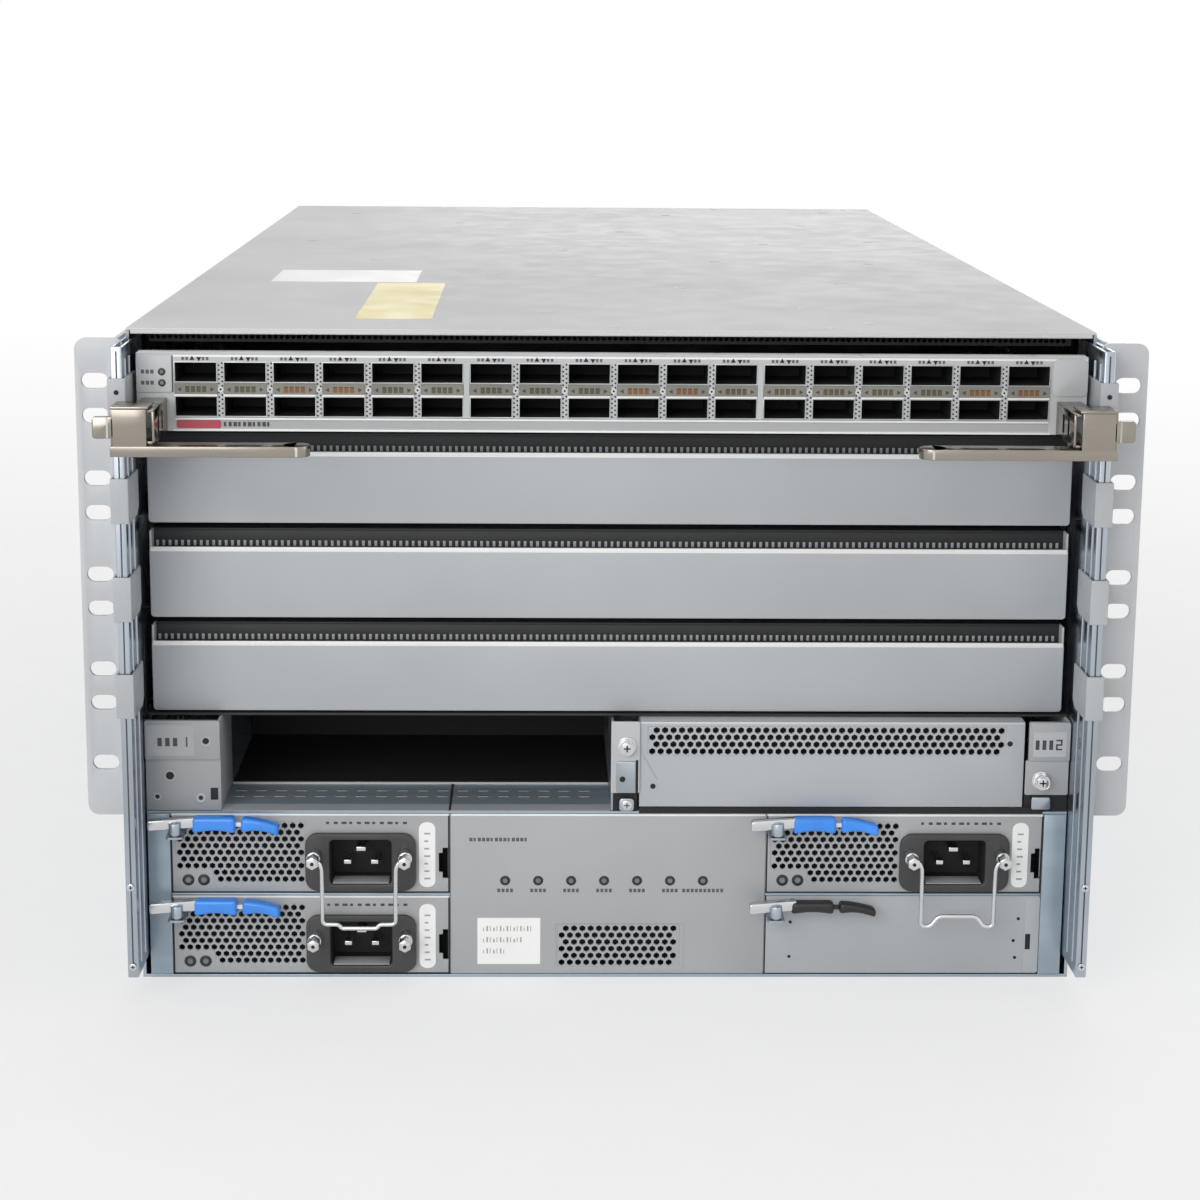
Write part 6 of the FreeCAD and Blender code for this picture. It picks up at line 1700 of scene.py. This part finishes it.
class BuildTrays(bpy.types.Operator):
    """Fan trays: hexagonal mesh, light tile, label plate, flange with its screw, and white tube handles"""

    bl_idname = "chassis.trays"
    bl_label = "Fan trays"

    GAUGE = 1.2

    def execute(self, context):
        settings = mesh_settings()
        (x0, x1), (y0, y1), (z0, z1) = mm_box("fan_tray_centre")
        width = x1 - x0
        middle = (x0 + x1) / 2
        face_top = z1 - 12.7
        mesh_span = ((x0 + 3.2, x1 - 3.2), (z0 + 8.1, z0 + 225.1))
        mesh = lattice("tray_mesh", tuple(v * MM for v in mesh_span[0]), tuple(v * MM for v in mesh_span[1]),
                       WALL_FRONT + (y1 - self.GAUGE) * MM, self.GAUGE * MM, settings.tray_pitch,
                       settings.tray_hole)
        frame_face = front_plate("tray_frame", (x0, x1), (z0, face_top), y1 - self.GAUGE - 0.1, self.GAUGE + 0.1,
                                 [(*mesh_span[0], *mesh_span[1])], 0.4)
        case = walls("tray_wall", (x0, x1), (y0, y1 - self.GAUGE), (z0, face_top), 1.2, 0.4, "rear_paint")
        flange = tablet("tray_flange", (x0, x1), (766.0, 767.5), (face_top - 1, z1), 1.5, 3, 0.4)
        paint_all("rear_paint", mesh, frame_face, flange)
        pieces = [mesh, frame_face, *case, flange]
        pieces.append(knurled_screw("tray_screw", middle + 11, 767.5, 302.8, 4.8, 7.5, REAR))
        for side in (-1, 1):
            for z in (z0 + 4, z0 + 120, face_top - 6):
                pieces.append(disc("tray_rivet", middle + side * (width / 2 - 1.7), y1, z, 0.9, REAR, "ink"))
        holes = disc("tray_hole", x0 + 8, y1, face_top - 5.5, 1.2, REAR, "dark", 10)
        repeat(holes, 28, (4.1, 0, 0))
        pieces.append(holes)
        for side in (-1, 1):
            corner = sorted((middle + side * (width / 2 - 2.8), middle + side * (width / 2 - 14.5)))
            pieces.append(paint(slab("tray_corner", corner, (y1 - 0.9, y1 + 0.05),
                                     (face_top - 17.5, face_top - 11.0)),
                                "rear_paint"))
            square = sorted((middle + side * (width / 2 - 3.4), middle + side * (width / 2 - 6.0)))
            pieces.append(mark("slit_end", square, (face_top - 2.9, face_top - 0.5), y1 - 0.02, REAR, "dark"))
        pieces.append(mark("tray_slit", (x0 + 5, x1 - 5), (face_top - 2.1, face_top - 1.3), y1 - 0.02, REAR, "dark"))
        pieces += self.tile(middle, y1)
        first = smooth(join("fan_tray_centre_dressed", pieces), 30)
        grips = self.handles(middle, y1)
        step = mm_box("fan_tray_right")[0][0] - x0
        made = {"centre": (first, grips)}
        for word, sign in (("left", -1), ("right", 1)):
            shift = (sign * step * MM, 0, 0)
            made[word] = (copy_to(first, shift, f"fan_tray_{word}_dressed"),
                          copy_to(grips, shift, f"tray_handles_{word}_dressed"))
        for word, (tray, handles_) in made.items():
            done(tray, f"tray_{word}", "panel_paint", f"fan_tray_{word}")
            done(handles_, f"tray_{word}", "white_tube", f"tray_handles_{word}")
        return {"FINISHED"}

    def tile(self, middle, y1):
        """The light tile with three rings, and the label plate with a dark bar."""
        run = facing_sign(REAR)
        x = sorted((middle + run * 8.7, middle + run * 26.8))
        tile = tablet("light_tile", (x[0], x[1]), (y1 - 1.2, y1 + 0.35), (160.7, 182.4), 1.5, 3, 0.2)
        pieces = [paint(tile, "rear_paint")]
        for z in (178.4, 171.8, 165.2):
            pieces.append(light_ring("tray_light", middle + run * 21.0, y1 + 0.35, z, 1.6, REAR))
            name = sorted((middle + run * 11.0, middle + run * 16.6))
            pieces.append(mark("light_name", name, (z - 0.8, z + 0.8), y1 + 0.35, REAR, "ink_soft", 0.03))
        x = sorted((middle - run * 54, middle - run * 23))
        label = tablet("tray_label", (x[0], x[1]), (y1 - 0.8, y1 + 0.3), (67.2, 74.2), 0.8, 3, 0.15)
        pieces.append(paint(label, "rear_paint"))
        pieces.append(mark("tray_name", (x[0] + 3, x[1] - 3), (69.7, 71.7), y1 + 0.3, REAR, "ink_soft", 0.03))
        return pieces

    def handles(self, middle, y1):
        """Two bent white tubes with round feet."""
        made = []
        for z in (285.0, 57.9):
            path = [(middle - 57, y1), (middle - 57, y1 + 26), (middle - 47, y1 + 36), (middle + 47, y1 + 36),
                    (middle + 57, y1 + 26), (middle + 57, y1)]
            tube = wire("tube", [at(x, y, z) for x, y in path], 4.7 * MM, 16)
            made.append(paint(tube, "white"))
            for x in (middle - 57, middle + 57):
                foot = rod("tube_foot", at(x, y1, z), "y", 1.2 * MM, 5.6 * MM, 28, 0.3 * MM)
                made.append(paint(foot, "white"))
        return smooth(join("tray_handles_centre_dressed", made), 50)


class BuildControllers(bpy.types.Operator):
    """System controllers: sheet faces with light tiles, labels, captive screws and black levers"""

    bl_idname = "chassis.controllers"
    bl_label = "System controllers"

    def execute(self, context):
        for number in (1, 2):
            (x0, x1), (y0, _), (z0, z1) = mm_box(f"system_controller_{number}")
            self.unit(number, x0, x1, y0, z0, z1)
            cam_lever(f"controller_lever_{number}_dressed", x0 + 21, 777.0, 8.6,
                      f"latch_controller_{number}", f"controller_lever_{number}", "black", REAR)
        return {"FINISHED"}

    def unit(self, number, x0, x1, y0, z0, z1):
        face = tablet("controller_face", (x0, x1), (763.6, 765.0), (z0, z1), 0.8, 3, 0.35)
        ledge = slab("controller_ledge", (x0 + 1, x1 - 1), (764.5, 765.8), (z1 - 2.2, z1 - 0.6), 0.3)
        paint_all("rear_paint", face, ledge)
        case = walls("controller_wall", (x0, x1), (y0, 763.6), (z0, z1), 1, 0.3, "rear_paint")
        pieces = [face, ledge, *case]
        pieces.append(knurled_screw("upper_screw", x0 + 13.5, 765, 22.8, 4.8, 10, REAR))
        pieces.append(knurled_screw("lower_screw", x1 - 9, 765, 9.2, 5.1, 10, REAR))
        tile_x = (x1 - 45, x1 - 31)
        tile = tablet("controller_tile", (tile_x[0], tile_x[1]), (764.6, 765.3), (11.6, 26.0), 0.9, 3)
        pieces.append(paint(tile, "rear_paint"))
        for z in (23.4, 18.8, 14.2):
            pieces.append(light_ring("controller_light", x1 - 41.5, 765.3, z, 1.4, REAR))
            pieces.append(mark("light_name", (x1 - 38, x1 - 33.5), (z - 0.6, z + 0.6), 765.3, REAR, "ink_soft", 0.03))
        label = tablet("controller_label", (x0 + 27, x0 + 55), (765, 765.15), (9.5, 18.5), 0.8, 3)
        pieces.append(paint(label, "label"))
        for k in range(14):
            x = x0 + 30 + k * 1.6
            pieces.append(mark("label_bar", (x, x + 0.5 + 0.35 * (k % 3 == 0)), (12.6, 17.2), 765.15, REAR,
                               "label_ink", 0.03))
        pieces += lever_mount(x0 + 21, 765, 8.6, REAR, 7.0)
        done(smooth(join(f"controller_{number}_dressed", pieces)), f"controller_{number}", "panel_paint",
             f"system_controller_{number}")


class BuildRearPanels(bpy.types.Operator):
    """Side panels beside the trays, slot number tile, ground symbol and ground holes"""

    bl_idname = "chassis.rear_panels"
    bl_label = "Rear panels"

    def execute(self, context):
        (x0, x1), (y0, y1), (z0, z1) = mm_box("rear_panels")
        pieces = []
        grounds = [(-205.0, z) for z in (62.2, 74.3, 86.4)]
        for sign in (-1, 1):
            span = sorted((sign * 190.8, sign * 218.75))
            face = slab("side_panel", span, (y1 - 2, y1), (z0, z1), 0.3)
            if sign < 0:
                carve(face, [rod("ground_hole", at(x, y1 - 6, z), "y", 12 * MM, 3.2 * MM, 24) for x, z in grounds])
            wall = slab("side_wall", sorted((sign * 190.8, sign * 192.0)), (y0, y1 - 1), (z0 + 47, z1), 0.3)
            pieces += paint_all("rear_paint", face, wall)
        pieces += [paint(ring("ground_edge", at(x, y1, z), "y", 3.6 * MM, 0.35 * MM), "steel")
                   for x, z in grounds]
        tile = tablet("slot_tile", (-215.4, -196), (y1, y1 + 0.15), (259.5, 304.5), 0.8, 3)
        pieces.append(paint(tile, "label"))
        for column in range(3):
            for row in range(2):
                x, z = -200.4 - column * 5.6, 288.0 - row * 20.5
                cell = mark("slot_cell", (x - 2.3, x + 2.3), (z, z + 14), y1 + 0.15, REAR, "rear_paint", 0.03)
                pieces.append(cell)
                if row == 0:
                    pieces.append(numeral(str(column + 1), x + 1.1, y1 + 0.2, z + 2.4, 4.4, REAR))
        pieces += self.ground_symbol(-205.7, y1, 104.9)
        for x, digit in ((205.0, "1"), (-203.5, "2")):
            pieces.append(numeral(digit, x + 1.5, y1, 20, 7.5, REAR))
        done(smooth(join("rear_panels_dressed", pieces)), "chassis", "panel_paint", "rear_panels")
        return {"FINISHED"}

    def ground_symbol(self, x, y, z):
        """A ring with a stem and three bars."""
        parts = [paint(ring("symbol_ring", at(x, y, z), "y", 4.6 * MM, 0.25 * MM, 32), "ink")]
        parts.append(mark("symbol_stem", (x - 0.25, x + 0.25), (z, z + 3.4), y, REAR, "ink"))
        for k, half in enumerate((2.6, 1.7, 0.8)):
            low = z - 0.2 - 1.1 * k
            parts.append(mark("symbol_bar", (x - half, x + half), (low - 0.4, low), y, REAR, "ink"))
        return parts


# ---------------------------------------------------------------- panel and registration

OPERATORS = [
    FinishNodes,
    BuildRails,
    BuildEars,
    BuildCover,
    BuildBlanks,
    BuildLineCard,
    BuildEjectors,
    BuildSupervisorRow,
    BuildSupplies,
    BuildPowerBay,
    BuildTrays,
    BuildControllers,
    BuildRearPanels,
    BuildStage,
]


class ChassisPanel(bpy.types.Panel):
    """Lists the building steps of the chassis switch"""

    bl_idname = "VIEW3D_PT_chassis_switch"
    bl_label = "Chassis switch"
    bl_space_type = "VIEW_3D"
    bl_region_type = "UI"
    bl_category = "Chassis"

    def draw(self, context):
        for operator in OPERATORS:
            self.layout.operator(operator.bl_idname)
        for group in (context.scene.chassis_finish, context.scene.chassis_mesh):
            for key in group.bl_rna.properties.keys():
                if key not in ("rna_type", "name"):
                    self.layout.prop(group, key)


CLASSES = [ChassisFinish, ChassisMesh, *OPERATORS, ChassisPanel]


def register():
    for item in CLASSES:
        bpy.utils.register_class(item)
    bpy.types.Scene.chassis_finish = bpy.props.PointerProperty(type=ChassisFinish)
    bpy.types.Scene.chassis_mesh = bpy.props.PointerProperty(type=ChassisMesh)


def unregister():
    del bpy.types.Scene.chassis_finish
    del bpy.types.Scene.chassis_mesh
    for item in reversed(CLASSES):
        bpy.utils.unregister_class(item)


def main():
    register()
    for operator in OPERATORS:
        group, name = operator.bl_idname.split(".")
        getattr(getattr(bpy.ops, group), name)()


if __name__ == "__main__":
    main()
